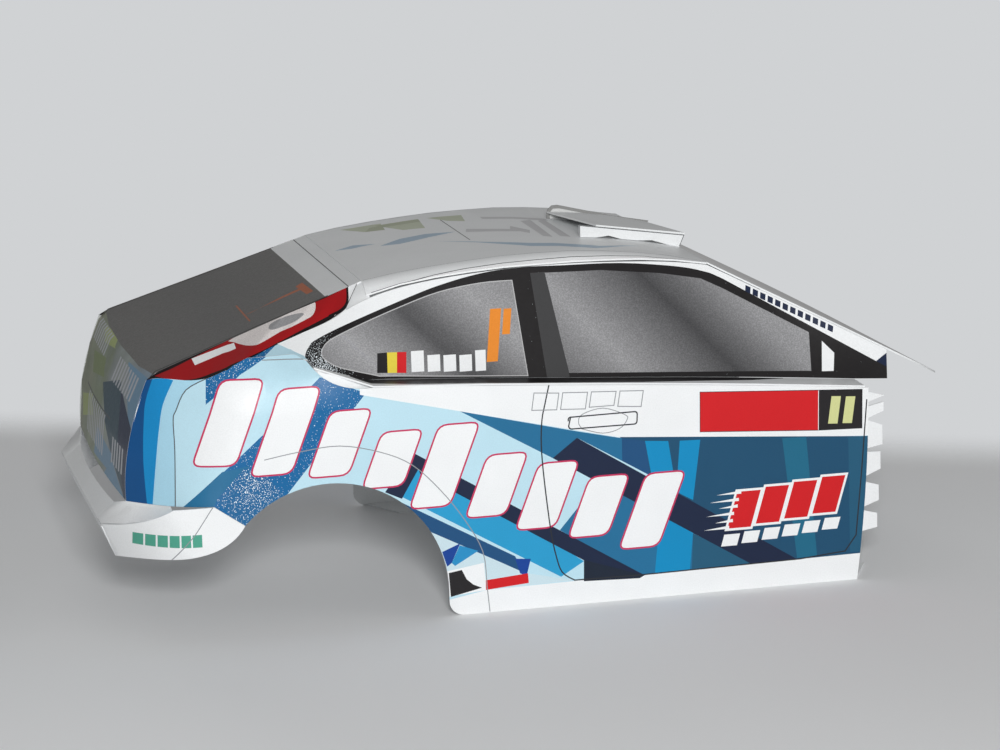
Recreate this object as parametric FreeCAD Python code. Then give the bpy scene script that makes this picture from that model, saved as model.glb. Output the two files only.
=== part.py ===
import FreeCAD, Part
import os
from math import cos, radians, sin, sqrt

V = FreeCAD.Vector

# Half-built paper model of a rally car body shell, about 1:24, in millimetres.
# X runs forward from the rear axle line, Y to the car's left, Z up from the floor.
# The right side is drawn and the left side is its mirror image.

# The paper, and the clearance left for glue where two pieces meet
paper = 0.25
glue_gap = 0.05

# Side sheet: half width of its flat part, its leaning front edge and the wheel arch
body_half_width = 37.5
front_low_x = 81.5
front_edge_bulge = 0.5
sill_corner_radius = 2.2
arch_radius = 17.6
arch_centre_z = 4.1

# Belt line, where the side sheet folds into the shoulder strip: X, Z
belt_guide = [(-2.0, 39.6), (-0.4, 37.7), (7.0, 35.5), (20.3, 34.8), (33.9, 33.9), (59.3, 32.0), (83.6, 29.8)]
shoulder_end_x = 7.0
shoulder_rise = 0.1
shoulder_tip_width = 0.8

# Rear corner, where the side sheet meets the tailgate sheet: X, Z, and how far it lies in from the flat side
corner_poles = [(-24.9, 37.4), (-26.6, 33.0), (-28.2, 27.0), (-28.8, 19.5)]
corner_inset = 8.9
# Where the side starts to roll inwards, low and high: Z, X
roll_start_guide = [(19.5, -15.0), (37.4, -5.0)]
# How far the side leans in above the belt
lean_start_z = 33.2
lean_at_tip = 3.0
lean_fade_length = 9.0

# Line where the lamp flap meets the sheets below it, front to rear: X, Z
lamp_low_guide = [(5.5, 45.75), (2.6, 44.2), (-1.4, 43.0), (-5.6, 41.85), (-11.1, 40.5), (-13.8, 39.25), (-16.5, 38.1),
                  (-19.75, 37.7), (-22.4, 37.85), (-24.9, 37.45)]
lamp_on_window = 4

# Window sheet: X, how far it lies in at reference height and how much it leans in per millimetre of height
window_reference_z = 36.0
window_guide = [(-16.0, 0.3, 1.1), (-8.0, 0.2, 1.1), (-2.0, 0.2, 1.15), (5.5, 4.4, 0.63), (12.0, 4.5, 0.52),
                (20.0, 4.5, 0.46), (36.0, 4.6, 0.41), (61.0, 5.9, 0.38), (75.0, 6.3, 0.31), (88.4, 5.4, 0.05),
                (92.0, 5.3, 0.03)]
pillar_foot_x = 88.4
pillar_foot_z = 34.7
pillar_low_z = 29.9
shoulder_front_x = 83.0

# Roof: X, height along the middle, droop of its edge
roof_rear_x = 8.7
header_x = 61.6
roof_guide = [(4.0, 47.6, 2.4), (8.7, 49.1, 1.9), (16.9, 50.3, 1.2), (24.0, 51.0, 1.1), (32.0, 51.5, 1.1),
              (40.0, 51.6, 1.1), (48.0, 51.1, 0.9), (55.0, 50.2, 0.5), (61.6, 48.9, 0.1), (66.0, 47.8, 0.0)]
roof_flat_inset = 14.0
roof_edge_inset = 10.5

# Windscreen: how far its free edge bows forward of the pillar feet, and how much the sheet bulges
screen_bow = 15.8
screen_bulge = 0.5

# Tailgate sheet: its joint with the roof, the bend below the rear window and its lower edge, as X, Z, inset and bow
hatch_top = (8.6, 49.05, 13.9, 0.0)
hatch_bend = (-23.4, 38.4, 9.2, 0.5)
tail_low_bow = 0.8

# Bumper: the ledge's outer edge and the lower edge, as X, Z and inset
ledge_edge = (-32.4, 15.8, 11.1)
bumper_low_edge = (-30.5, 10.8, 11.1)
ledge_end_inset = 16.0
ledge_inner_drop = 1.6
bumper_seam_z = 19.5
bumper_seam_front_x = -17.0
bumper_arch_z = 16.4
bumper_roll_x = -18.0
# Top edge of the bumper side behind the seam, and its lower edge: X, Z
bumper_top_guide = [(-23.0, 19.5), (-26.2, 17.9), (-29.3, 16.7), (-32.4, 15.8)]
bumper_low_guide = [(-17.0, 12.9), (-19.8, 12.2), (-24.0, 11.7), (-30.5, 10.8)]

# Roof scoop
scoop_half_width = 10.5
scoop_rear_x = 45.9
scoop_front_x = 62.0
scoop_front_lead = 0.9
scoop_height = 1.95
# The lid is glued on lower at its left edge, below the left wall's free rear lip, and its rear edge is askew
scoop_left_height = 1.2
scoop_lip_height = 2.6
scoop_lip_end_x = 56.9
scoop_lid_skew = 2.7
# Where the right wall's foot has come away from the roof: start, end, height
scoop_foot_gaps = [(48.5, 52.7, 0.45), (55.3, 59.8, 0.35)]

# Flaps and glue tabs
sill_flap_width = 8.0
sill_flap_lead = 4.0
tab_backing_width = 2.4
tab_reach = 3.4
tab_turn = 12.0
tab_rows = [(27.4, 29.2, 28.2, 28.2), (24.8, 26.7, 25.8, 27.2), (20.2, 25.0, 20.6, 23.6), (15.7, 19.8, 16.8, 19.5),
            (11.0, 15.4, 11.9, 14.3), (7.3, 10.9, 7.7, 9.9)]
strip_width = 3.0


def between(guide, place, column=1):
    """Value at a place on a guide, as a smooth curve that doesn't overshoot its rows."""
    rows = sorted(guide)
    if place <= rows[0][0]:
        return rows[0][column]
    if place >= rows[-1][0]:
        return rows[-1][column]
    slopes = [(b[column] - a[column]) / (b[0] - a[0]) for a, b in zip(rows, rows[1:])]
    turns = [slopes[0]]
    for a, b in zip(slopes, slopes[1:]):
        turns.append(2 * a * b / (a + b) if a * b > 0 else 0.0)
    turns.append(slopes[-1])
    i = 0
    while place > rows[i + 1][0]:
        i += 1
    span = rows[i + 1][0] - rows[i][0]
    t = (place - rows[i][0]) / span
    return (rows[i][column] * (1 + 2 * t) * (1 - t) ** 2 + turns[i] * span * t * (1 - t) ** 2
            + rows[i + 1][column] * t * t * (3 - 2 * t) - turns[i + 1] * span * t * t * (1 - t))


def steps(start, stop, count):
    return [start + (stop - start) * i / (count - 1) for i in range(count)]


def curve(points):
    spline = Part.BSplineCurve()
    spline.interpolate([V(*point) for point in points])
    return spline.toShape()


def line(start, stop):
    return Part.makeLine(V(*start), V(*stop))


def side_view(points):
    """Points of a side view, X and Z, put well outside the right side."""
    return [(x, -2 * body_half_width, z) for x, z in points]


def trim(edges, direction):
    """Solid that a sheet is trimmed with: a closed outline pushed through it."""
    outline = Part.Wire(Part.__sortEdges__(edges))
    return Part.Face(outline).extrude(direction)


def side_trim(edges):
    return trim(edges, V(0, 2 * body_half_width, 0))


def mirrored(shape):
    return shape.mirror(V(0, 0, 0), V(0, 1, 0))


def flat_face(*corners):
    return Part.Face(Part.makePolygon(list(corners) + [corners[0]]))


def strip(first, second, inward):
    """Sheet folded in flat facets between two lines of points, thickened on the side that inward points to."""
    sections = []
    last = len(first) - 1
    for i, (a, b) in enumerate(zip(first, second)):
        along = first[min(i + 1, last)] - first[max(i - 1, 0)] + second[min(i + 1, last)] - second[max(i - 1, 0)]
        normal = (b - a).cross(along).normalize()
        if normal.dot(inward) < 0:
            normal = normal.negative()
        step = normal * paper
        sections.append([a, b, b + step, a + step])
    faces = [flat_face(*sections[0]), flat_face(*sections[-1])]
    for here, there in zip(sections, sections[1:]):
        for i in range(4):
            k = (i + 1) % 4
            faces += [flat_face(here[i], here[k], there[k]), flat_face(here[i], there[k], there[i])]
    shell = Part.makeShell(faces)
    shell.sewShape()
    sheet = Part.makeSolid(shell)
    if sheet.Volume < 0:
        sheet.reverse()
    return sheet


def corner_x(z):
    """X of the rear corner line at a height."""
    return between([(height, x) for x, height in corner_poles], z)


def side_y(x, z):
    """Outer face of the side sheet: flat, rolling in behind the arch and leaning in above the belt."""
    height = min(z, corner_poles[0][1])
    start = between(roll_start_guide, height)
    reach = max(0.0, start - x) / (start - corner_x(height))
    lean = lean_at_tip * (max(0.0, z - lean_start_z) / (belt_guide[0][1] - lean_start_z)) ** 2
    fade = max(0.0, min(1.0, (shoulder_end_x - x) / lean_fade_length)) * max(0.0, 1 - reach)
    return -body_half_width + lean * fade + corner_inset * min(reach, 1.1) ** 2


def window_y(x, z):
    """Outer face of the window sheet, which leans in towards the roof."""
    return -body_half_width + between(window_guide, x) + between(window_guide, x, 2) * (z - window_reference_z)


def roof_z(x, y):
    past = max(0.0, abs(y) - body_half_width + roof_flat_inset) / (roof_flat_inset - roof_edge_inset)
    return between(roof_guide, x) - between(roof_guide, x, 2) * past ** 2


def roof_edge_z(x):
    return roof_z(x, body_half_width - roof_edge_inset)


def roof_half(x):
    """Half width of the roof, out to the window sheet's outer face."""
    return -window_y(x, roof_edge_z(x))


def screen_z(x):
    slope = (roof_z(header_x, 0) - pillar_foot_z) / (pillar_foot_x - header_x)
    return roof_z(header_x, 0) - slope * (x - header_x)


def shoulder_z(x):
    return between(belt_guide, x) + shoulder_rise + glue_gap + paper


def bumper_lean():
    """How far the bumper's rear edge leans back per millimetre of height."""
    return (bumper_low_edge[0] - ledge_edge[0]) / (ledge_edge[1] - bumper_low_edge[1])


def bumper_y(x, z):
    """Outer face of the bumper side, which rolls in about lines that lean with its rear edge."""
    low_x = x + bumper_lean() * (z - bumper_low_edge[1])
    reach = max(0.0, bumper_roll_x - low_x) / (bumper_roll_x - bumper_low_edge[0])
    return -body_half_width + ledge_edge[2] * reach ** 2


def slab(height, xs, zs):
    """Sheet whose outer face lies at height(x, z) along Y: level curves with straight lines between them."""
    levels = [Part.Wire(curve([(x, height(x, z), z) for x in xs])) for z in zs]
    bands = [face.extrude(V(0, paper, 0)) for face in Part.makeLoft(levels, False, True).Faces]
    return bands[0].fuse(bands[1:]) if len(bands) > 1 else bands[0]


def side_panel():
    arch_x = -sqrt(arch_radius ** 2 - (bumper_arch_z - arch_centre_z) ** 2)
    tip = belt_guide[0]
    seam_z = bumper_seam_z + glue_gap
    belt = [(x, z) for x, z in belt_guide if x >= shoulder_end_x]
    shoulder_tail = [(x, z) for x, z in reversed(belt_guide) if x <= shoulder_end_x]
    lamp_line = [tip] + [(x, z - glue_gap) for x, z in lamp_low_guide[lamp_on_window:]]
    corner = [lamp_line[-1]] + corner_poles[1:-1] + [(corner_x(seam_z), seam_z)]
    radius = sill_corner_radius
    bend = radius * (1 - cos(radians(45)))
    front_middle = ((front_low_x + belt[-1][0]) / 2 + front_edge_bulge, belt[-1][1] / 2)
    edges = [
        curve(side_view([(front_low_x, 0), front_middle, belt[-1]])),
        curve(side_view(belt)),
        curve(side_view(shoulder_tail)),
        curve(side_view(lamp_line)),
        curve(side_view(corner)),
        line(*side_view([corner[-1], (bumper_seam_front_x, seam_z)])),
        line(*side_view([(bumper_seam_front_x, seam_z), (arch_x, bumper_arch_z)])),
        Part.Arc(*[V(*p) for p in side_view([(arch_x, bumper_arch_z), (0, arch_centre_z + arch_radius),
                                             (arch_radius, arch_centre_z)])]).toShape(),
        line(*side_view([(arch_radius, arch_centre_z), (arch_radius, radius)])),
        Part.Arc(*[V(*p) for p in side_view([(arch_radius, radius), (arch_radius + bend, bend),
                                             (arch_radius + radius, 0)])]).toShape(),
        line(*side_view([(arch_radius + radius, 0), (front_low_x, 0)])),
    ]
    outline = side_trim(edges)
    high = tip[1] + 1.0
    flat = Part.makeBox(belt[-1][0] - shoulder_end_x + 1.0, paper, high + 1.0,
                        V(shoulder_end_x, -body_half_width, -1.0))
    rolled = slab(side_y, steps(corner_poles[-1][0] - 2.0, shoulder_end_x, 12),
                  [bumper_arch_z - 4.0, bumper_seam_z, 27.0, 33.0, corner_poles[0][1], high])
    return flat.common(outline).fuse(rolled.common(outline)).removeSplitter()


def shoulder_strip():
    tip_x = belt_guide[0][0]
    outer, inner = [], []
    for x in steps(tip_x + 0.8, shoulder_front_x, 11):
        share = min(1.0, (x - tip_x) / (shoulder_end_x - tip_x))
        z = between(belt_guide, x)
        edge = V(x, side_y(x, z), z + glue_gap)
        full = window_y(x, shoulder_z(x)) + body_half_width - glue_gap
        width = shoulder_tip_width + (full - shoulder_tip_width) * share
        outer.append(edge)
        inner.append(edge + V(0, width, shoulder_rise * share))
    return strip(outer, inner, V(0, 0, 1))


def window_panel():
    clear = paper + 2 * glue_gap
    belt = [(x, z + shoulder_rise + clear) for x, z in belt_guide if x >= shoulder_end_x]
    foot = (pillar_foot_x, pillar_low_z)
    low_front = (shoulder_front_x + glue_gap, shoulder_z(shoulder_front_x) + glue_gap)
    low = [low_front] + list(reversed(belt[:-1]))
    tail = [belt[0]] + [(x, z + clear + shoulder_rise) for x, z in reversed(belt_guide[:2])]
    lamp = [(x, z - glue_gap) for x, z in lamp_low_guide[:lamp_on_window]]
    under = glue_gap + paper * 1.1
    rail = [(x, roof_edge_z(x) - under) for x, z, droop in roof_guide[1:-1]]
    rail_end = (lamp[0][0] + glue_gap, roof_edge_z(lamp[0][0]) - under)
    pillar_top = (pillar_foot_x, screen_z(pillar_foot_x) - under)
    edges = [
        line(*side_view([foot, pillar_top])),
        line(*side_view([pillar_top, rail[-1]])),
        curve(side_view([rail_end] + rail)),
        line(*side_view([rail_end, lamp[0]])),
        curve(side_view(lamp)),
        line(*side_view([lamp[-1], tail[-1]])),
        curve(side_view(tail)),
        curve(side_view(low)),
        line(*side_view([low_front, foot])),
    ]
    high = roof_z(header_x, 0) + 4.0
    sheet = slab(window_y, steps(lamp[-1][0] - 3.0, pillar_foot_x + 1.0, 13), [pillar_low_z - 2.0, high])
    return sheet.common(side_trim(edges))


def hatch_edge(share):
    """Point on the right edge of the flat rear window part, from the roof to the bend."""
    x, z, inset = [a + (b - a) * share for a, b in zip(hatch_top[:3], hatch_bend[:3])]
    return V(x, inset - body_half_width, z)


def lamp_flap():
    high, low = [], []
    first_x = lamp_low_guide[0][0]
    span = lamp_low_guide[-1][0] - first_x
    for i, (x, z) in enumerate(lamp_low_guide):
        high.append(hatch_edge(0.02 + 0.97 * (x - first_x) / span) - V(0, glue_gap, 0))
        y = window_y(x, z) if i < lamp_on_window else side_y(x, z)
        low.append(V(x, y, z))
    return strip(high, low, V(0, 1, -1))


def bowed(x, z, inset, bow):
    """Line across the car, bowed rearwards in the middle."""
    half = body_half_width - inset
    bezier = Part.BezierCurve()
    bezier.setPoles([V(x, -half, z), V(x - 2 * bow, 0, z), V(x, half, z)])
    return bezier


def bowed_sheet(rows, step):
    """Sheet of straight-lined bands between bowed lines across the car, its thickness given as a step."""
    lines = [Part.Wire(bowed(*row).toShape()) for row in rows]
    bands = [face.extrude(step) for face in Part.makeLoft(lines, False, True).Faces]
    return bands[0].fuse(bands[1:]) if len(bands) > 1 else bands[0]


def tail_low():
    """Lower edge of the tailgate sheet."""
    return (corner_x(bumper_seam_z), bumper_seam_z, corner_inset + glue_gap, tail_low_bow)


def tailgate_panel():
    # The step leans so that the sheet is as thick on the rear window as on the upright rear end
    step = V(1, 0, -1) * paper * 0.78
    window = bowed_sheet([hatch_top, hatch_bend], step)
    rear = [hatch_bend, (corner_poles[0][0] - 0.1, corner_poles[0][1] - 0.6, corner_inset + glue_gap, hatch_bend[3])]
    for x, z in corner_poles[1:-1]:
        share = (corner_poles[0][1] - z) / (corner_poles[0][1] - bumper_seam_z)
        rear.append((x, z, corner_inset + glue_gap, hatch_bend[3] + (tail_low_bow - hatch_bend[3]) * share))
    rear.append(tail_low())
    return window.fuse(bowed_sheet(rear, step)).removeSplitter()


def ledge_rows():
    low_x, low_z, low_inset, low_bow = tail_low()
    inner = (low_x - 1.0, low_z - ledge_inner_drop, ledge_end_inset, low_bow)
    return inner, (ledge_edge[0], ledge_edge[1], ledge_end_inset, 0.0)


def bumper_ledge():
    return bowed_sheet(ledge_rows(), V(0, 0, -paper))


def bumper_rear():
    x, z, inset = ledge_edge
    low_x, low_z, low_inset = bumper_low_edge
    return bowed_sheet([(x, z - paper - glue_gap, inset, 0.0), (low_x, low_z, low_inset, 0.0)], V(paper, 0, 0))


def bumper_side():
    arch_x = -sqrt(arch_radius ** 2 - (bumper_arch_z - arch_centre_z) ** 2)
    front = (arch_x, bumper_arch_z - glue_gap)
    seam_front = (bumper_seam_front_x, bumper_seam_z)
    rear_top = bumper_top_guide[-1]
    rear_low = bumper_low_guide[-1]
    edges = [
        line(*side_view([front, seam_front])),
        line(*side_view([seam_front, bumper_top_guide[0]])),
        curve(side_view(bumper_top_guide)),
        line(*side_view([rear_top, rear_low])),
        curve(side_view([rear_low] + list(reversed(bumper_low_guide[:-1])) + [front])),
    ]
    low_z = rear_low[1] - 1.0
    rise = bumper_seam_z - low_z + 1.0
    foot = curve([(x, bumper_y(x, low_z), low_z) for x in steps(rear_low[0] - 1.0, 0.0, 12)])
    sheet = foot.extrude(V(-bumper_lean() * rise, 0, rise)).extrude(V(0, paper, 0))
    return sheet.common(side_trim(edges))


def corner_flap():
    """Flap that closes the corner between the side sheet and the bumper side."""
    high, low = [], []
    last_x = corner_x(bumper_seam_z)
    for (x, z), high_x in zip(bumper_top_guide, steps(bumper_top_guide[0][0], last_x, len(bumper_top_guide))):
        low.append(V(x, bumper_y(x, z) + paper, z + glue_gap))
        high.append(V(high_x, side_y(high_x, bumper_seam_z) + paper, bumper_seam_z - glue_gap))
    low[0] = low[0] - V(0, 0, 0.5)
    inner, outer = ledge_rows()
    low.append(V(outer[0], ledge_end_inset - body_half_width - glue_gap, outer[1]))
    high.append(V(inner[0], ledge_end_inset - body_half_width - glue_gap, inner[1]))
    return strip(high, low, V(0, 1, -1))


def sill_flap():
    rear = arch_radius + sill_corner_radius
    outer = -body_half_width + paper + glue_gap
    inner = outer + sill_flap_width
    outline = Part.makePolygon([V(rear, outer, 0), V(front_low_x, outer, 0), V(front_low_x + sill_flap_lead, inner, 0),
                                V(rear + sill_flap_lead, inner, 0), V(rear, outer, 0)])
    return Part.Face(outline).extrude(V(0, 0, paper))


def front_edge(z):
    """X of the side sheet's front edge at a height."""
    top_x, top_z = belt_guide[-1]
    return front_low_x + (top_x - front_low_x) * z / top_z


def front_tabs():
    """Backing strip behind the side sheet's front edge, with its row of tabs turned a little inwards."""
    inside = -body_half_width + paper + glue_gap
    low = tab_rows[-1][0] - 1.0
    high = tab_rows[0][1] + 0.3
    corners = [(front_edge(low) - tab_backing_width, low), (front_edge(low), low), (front_edge(high), high),
               (front_edge(high) - tab_backing_width, high)]
    outline = Part.makePolygon([V(x, inside, z) for x, z in corners + corners[:1]])
    shapes = [Part.Face(outline).extrude(V(0, paper, 0))]
    for root_low, root_high, end_low, end_high in tab_rows:
        root_x = front_edge((root_low + root_high) / 2) - 0.3
        points = [(0, root_low), (tab_reach, end_low), (tab_reach, end_high), (0, root_high), (0, root_low)]
        if end_low == end_high:
            points = [(0, root_low), (tab_reach, end_low), (0, root_high), (0, root_low)]
        outline = Part.makePolygon([V(root_x + x, inside, z) for x, z in points])
        tab = Part.Face(outline).extrude(V(0, paper, 0))
        tab.rotate(V(root_x, inside, 0), V(0, 0, 1), tab_turn)
        shapes.append(tab)
    return shapes[0].fuse(shapes[1:]).removeSplitter()


def roof_panel():
    flat = body_half_width - roof_flat_inset
    ribs = []
    for x in steps(roof_rear_x, header_x, 11):
        side = [(x, y, roof_z(x, y)) for y in steps(flat, roof_half(x), 4)]
        ribs.append(Part.makePolygon([V(x, -y, z) for x, y, z in reversed(side)] + [V(*point) for point in side]))
    spans = [face.extrude(V(0, 0, -paper)) for face in Part.makeLoft(ribs, False, True).Faces]
    return spans[0].fuse(spans[1:]).removeSplitter()


def windscreen_panel():
    start_x = header_x + glue_gap
    tip_x = pillar_foot_x + screen_bow
    profile = [(start_x, screen_z(start_x)), ((start_x + pillar_foot_x) / 2, screen_z((start_x + pillar_foot_x) / 2)),
               (pillar_foot_x, screen_z(pillar_foot_x)), (tip_x, screen_z(tip_x) - screen_bulge)]
    lower = [(x, z - paper * 1.1) for x, z in profile]
    far = 1.5 * body_half_width
    edges = [curve([(x, -far, z) for x, z in profile]), curve([(x, -far, z) for x, z in lower]),
             line((profile[0][0], -far, profile[0][1]), (lower[0][0], -far, lower[0][1])),
             line((profile[-1][0], -far, profile[-1][1]), (lower[-1][0], -far, lower[-1][1]))]
    sheet = trim(edges, V(0, 2 * far, 0))
    half_top = roof_half(header_x)
    half_foot = -window_y(pillar_foot_x, screen_z(pillar_foot_x))
    middle_x = (header_x + pillar_foot_x) / 2
    half_middle = -window_y(middle_x, screen_z(middle_x))
    over = 2 * roof_z(header_x, 0)
    sides = []
    for sign in (-1, 1):
        sides.append(curve([(start_x, sign * half_top, over), (middle_x, sign * half_middle, over),
                            (pillar_foot_x, sign * half_foot, over)]))
    bow = []
    for turn in steps(-90.0, 90.0, 9):
        bow.append((pillar_foot_x + screen_bow * cos(radians(turn)), half_foot * sin(radians(turn)), over))
    edges = sides + [curve(bow), line((start_x, -half_top, over), (start_x, half_top, over))]
    return sheet.common(trim(edges, V(0, 0, -over)))


def scoop_base_z(x):
    return roof_z(x, 0) if x <= header_x else screen_z(x)


def scoop_wall(y, tops):
    """Scoop wall standing on the roof, its upper edge given as X and height above the roof."""
    xs = steps(scoop_rear_x, scoop_front_x, 5)
    low = [(x, y, scoop_base_z(x) + glue_gap) for x in xs]
    high = [(min(x, scoop_front_x) + lead, y, scoop_base_z(x) + rise) for x, rise, lead in tops]
    edges = [curve(low), line(low[0], high[0]), line(high[-1], low[-1])]
    edges += [line(a, b) for a, b in zip(high, high[1:])]
    return Part.Face(Part.Wire(Part.__sortEdges__(edges))).extrude(V(0, paper, 0))


def scoop_wall_right():
    y = -scoop_half_width
    wall = scoop_wall(y, [(scoop_rear_x, scoop_height, 0), (scoop_front_x, scoop_height, scoop_front_lead)])
    for start, stop, height in scoop_foot_gaps:
        peak = (start + stop) / 2
        notch = flat_face(V(start, y, scoop_base_z(start) - paper), V(start, y, scoop_base_z(start) + glue_gap),
                          V(peak, y, scoop_base_z(peak) + height), V(stop, y, scoop_base_z(stop) + glue_gap),
                          V(stop, y, scoop_base_z(stop) - paper))
        wall = wall.cut(notch.extrude(V(0, paper, 0)))
    return wall


def scoop_wall_left():
    return scoop_wall(scoop_half_width - paper, [(scoop_rear_x, scoop_lip_height, 0),
                                                 (scoop_lip_end_x, scoop_left_height, 0),
                                                 (scoop_front_x, scoop_left_height, scoop_front_lead)])


def scoop_top():
    """Lid that lies on the right wall and is butted against the left one."""
    right, left = [], []
    for share in steps(0, 1, 4):
        top_x = scoop_rear_x + scoop_lid_skew + (scoop_front_x + scoop_front_lead - scoop_rear_x - scoop_lid_skew) * share
        rear_z = scoop_base_z(scoop_rear_x) + scoop_height
        front_z = scoop_base_z(scoop_front_x) + scoop_height
        slope = (front_z - rear_z) / (scoop_front_x + scoop_front_lead - scoop_rear_x)
        right.append(V(top_x, -scoop_half_width, rear_z + slope * (top_x - scoop_rear_x) + glue_gap))
        left_x = scoop_rear_x + (scoop_front_x - scoop_rear_x) * share
        left.append(V(left_x, scoop_half_width - paper - glue_gap, scoop_base_z(left_x) + scoop_left_height - paper))
    return strip(right, left, V(0, 0, 1))


def rail_strip():
    """Glue strip in the corner between the window sheet and the roof."""
    first, second = [], []
    for x in steps(14.0, header_x - 2.0, 7):
        z = roof_edge_z(x) - 2 * paper - 2 * glue_gap
        y = window_y(x, z) + paper * 1.2 + 2 * glue_gap
        first.append(V(x, y, z - glue_gap))
        second.append(V(x, y + strip_width, z))
    return strip(first, second, V(0, 0, -1))


def seam_strip():
    """Glue strip across the car under the joint of the roof and the tailgate sheet."""
    half = body_half_width - roof_flat_inset - 1.0
    xs = [roof_rear_x + strip_width, roof_rear_x, roof_rear_x - strip_width]
    drop = paper * 1.2 + 2 * glue_gap
    hatch_z = hatch_edge((hatch_top[0] - xs[2]) / (hatch_top[0] - hatch_bend[0])).z
    zs = [roof_z(xs[0], 0) - drop, roof_z(xs[1], 0) - drop - 0.1, hatch_z - drop]
    first = [V(x, -half, z) for x, z in zip(xs, zs)]
    second = [V(x, half, z) for x, z in zip(xs, zs)]
    return strip(first, second, V(0, 0, -1))


def header_strip():
    """Glue strip across the car under the joint of the roof and the windscreen."""
    half = roof_half(header_x) - 3.0
    drop = paper * 1.3 + 2 * glue_gap
    xs = [header_x - strip_width, header_x, header_x + strip_width]
    zs = [roof_z(xs[0], 0) - drop, roof_z(xs[1], 0) - drop - 0.1, screen_z(xs[2]) - drop]
    first = [V(x, -half, z) for x, z in zip(xs, zs)]
    second = [V(x, half, z) for x, z in zip(xs, zs)]
    return strip(first, second, V(0, 0, -1))


def belt_strip():
    """Glue strip behind the lower edge of the window sheet, standing on the shoulder strip."""
    first, second = [], []
    for x in steps(9.0, shoulder_front_x - 2.0, 6):
        z = shoulder_z(x) + 2 * glue_gap
        y = window_y(x, z) + paper * 1.2 + glue_gap
        first.append(V(x, y, z))
        second.append(V(x, window_y(x, z + strip_width) + paper * 1.2 + glue_gap, z + strip_width))
    return strip(first, second, V(0, 1, 0))


paired = {
    "side_panel": side_panel,
    "shoulder_strip": shoulder_strip,
    "window_panel": window_panel,
    "tail_lamp_flap": lamp_flap,
    "bumper_side": bumper_side,
    "bumper_corner_flap": corner_flap,
    "sill_flap": sill_flap,
    "front_tab_strip": front_tabs,
    "roof_glue_strip": rail_strip,
    "belt_glue_strip": belt_strip,
}
single = {
    "roof_panel": roof_panel,
    "windscreen_panel": windscreen_panel,
    "tailgate_panel": tailgate_panel,
    "bumper_ledge": bumper_ledge,
    "bumper_rear": bumper_rear,
    "scoop_wall_right": scoop_wall_right,
    "scoop_wall_left": scoop_wall_left,
    "scoop_top": scoop_top,
    "tailgate_seam_strip": seam_strip,
    "header_glue_strip": header_strip,
}

nodes = {}
for name, make in paired.items():
    shape = make()
    nodes[name + "_right"] = shape
    nodes[name + "_left"] = mirrored(shape)
for name, make in single.items():
    nodes[name] = make()

# The part's own frame has its origin on the floor at the middle of its length
rear_tip = ledge_edge[0]
front_tip = pillar_foot_x + screen_bow
middle_x = (rear_tip + front_tip) / 2
os.makedirs("parts", exist_ok=True)
for name, shape in nodes.items():
    shape.translate(V(-middle_x, 0, 0))
    shape.exportStep("parts/" + name + ".step")
    box = shape.BoundBox
    print(f"{name:26s} valid {shape.isValid()} solids {len(shape.Solids)} volume {shape.Volume:8.2f} "
          f"x {box.XMin:7.2f} {box.XMax:7.2f} y {box.YMin:7.2f} {box.YMax:7.2f} z {box.ZMin:6.2f} {box.ZMax:6.2f}")
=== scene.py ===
from math import dist, radians

import bmesh
import bpy
from mathutils import Matrix, Vector


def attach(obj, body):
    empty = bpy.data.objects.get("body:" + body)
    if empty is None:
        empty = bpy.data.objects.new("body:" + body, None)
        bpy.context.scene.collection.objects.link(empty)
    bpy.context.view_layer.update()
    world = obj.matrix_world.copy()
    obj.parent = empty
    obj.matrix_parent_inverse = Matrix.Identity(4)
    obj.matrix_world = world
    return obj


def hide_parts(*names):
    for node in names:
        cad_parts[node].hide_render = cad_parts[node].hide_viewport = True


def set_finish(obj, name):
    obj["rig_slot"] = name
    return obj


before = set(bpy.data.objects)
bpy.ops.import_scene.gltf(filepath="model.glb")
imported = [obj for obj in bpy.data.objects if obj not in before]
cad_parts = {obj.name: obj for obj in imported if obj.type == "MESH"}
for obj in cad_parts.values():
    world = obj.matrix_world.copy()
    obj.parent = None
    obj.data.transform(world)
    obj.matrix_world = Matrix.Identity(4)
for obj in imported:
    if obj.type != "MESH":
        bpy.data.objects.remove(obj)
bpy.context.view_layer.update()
print("frame loaded")

# Places are in millimetres, with X from the rear axle line, which lies at axleX in the frame
mm = 0.001
axleX = -35.9
weldGap = 0.000002  # metres, and so is cutGap
cutGap = 0.000001
shortestLine = 0.01
creaseAngle = radians(28)


def deselectAll():
    if bpy.context.mode != "OBJECT":
        bpy.ops.object.mode_set(mode="OBJECT")
    bpy.ops.object.select_all(action="DESELECT")


def pick(piece):
    deselectAll()
    piece.select_set(True)
    bpy.context.view_layer.objects.active = piece


# Camera, lamps and background

cameraSet = {
    "lens": 126.0,
    "sensor": 36.0,
    "clip": (0.02, 20.0),
    "place": (-0.12424498, -0.53124111, 0.13695521),
    "yaw": 13.07429514,
    "pitch": 11.26373233,
    "roll": -1.70667808,
}


def makeCamera(settings):
    look = Vector((0, 1, 0))
    look.rotate(Matrix.Rotation(radians(-settings["pitch"]), 3, "X"))
    look.rotate(Matrix.Rotation(radians(-settings["yaw"]), 3, "Z"))
    right = look.cross(Vector((0, 0, 1))).normalized()
    up = right.cross(look)
    tilt = Matrix.Rotation(radians(-settings["roll"]), 3, look)
    right.rotate(tilt)
    up.rotate(tilt)
    camera = bpy.data.cameras.new("photoCamera")
    camera.lens = settings["lens"]
    camera.sensor_width = settings["sensor"]
    camera.clip_start, camera.clip_end = settings["clip"]
    holder = bpy.data.objects.new("photoCamera", camera)
    bpy.context.collection.objects.link(holder)
    turn = Matrix((right, up, -look)).transposed()
    holder.matrix_world = Matrix.Translation(settings["place"]) @ turn.to_4x4()
    bpy.context.scene.camera = holder


makeCamera(cameraSet)

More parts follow.
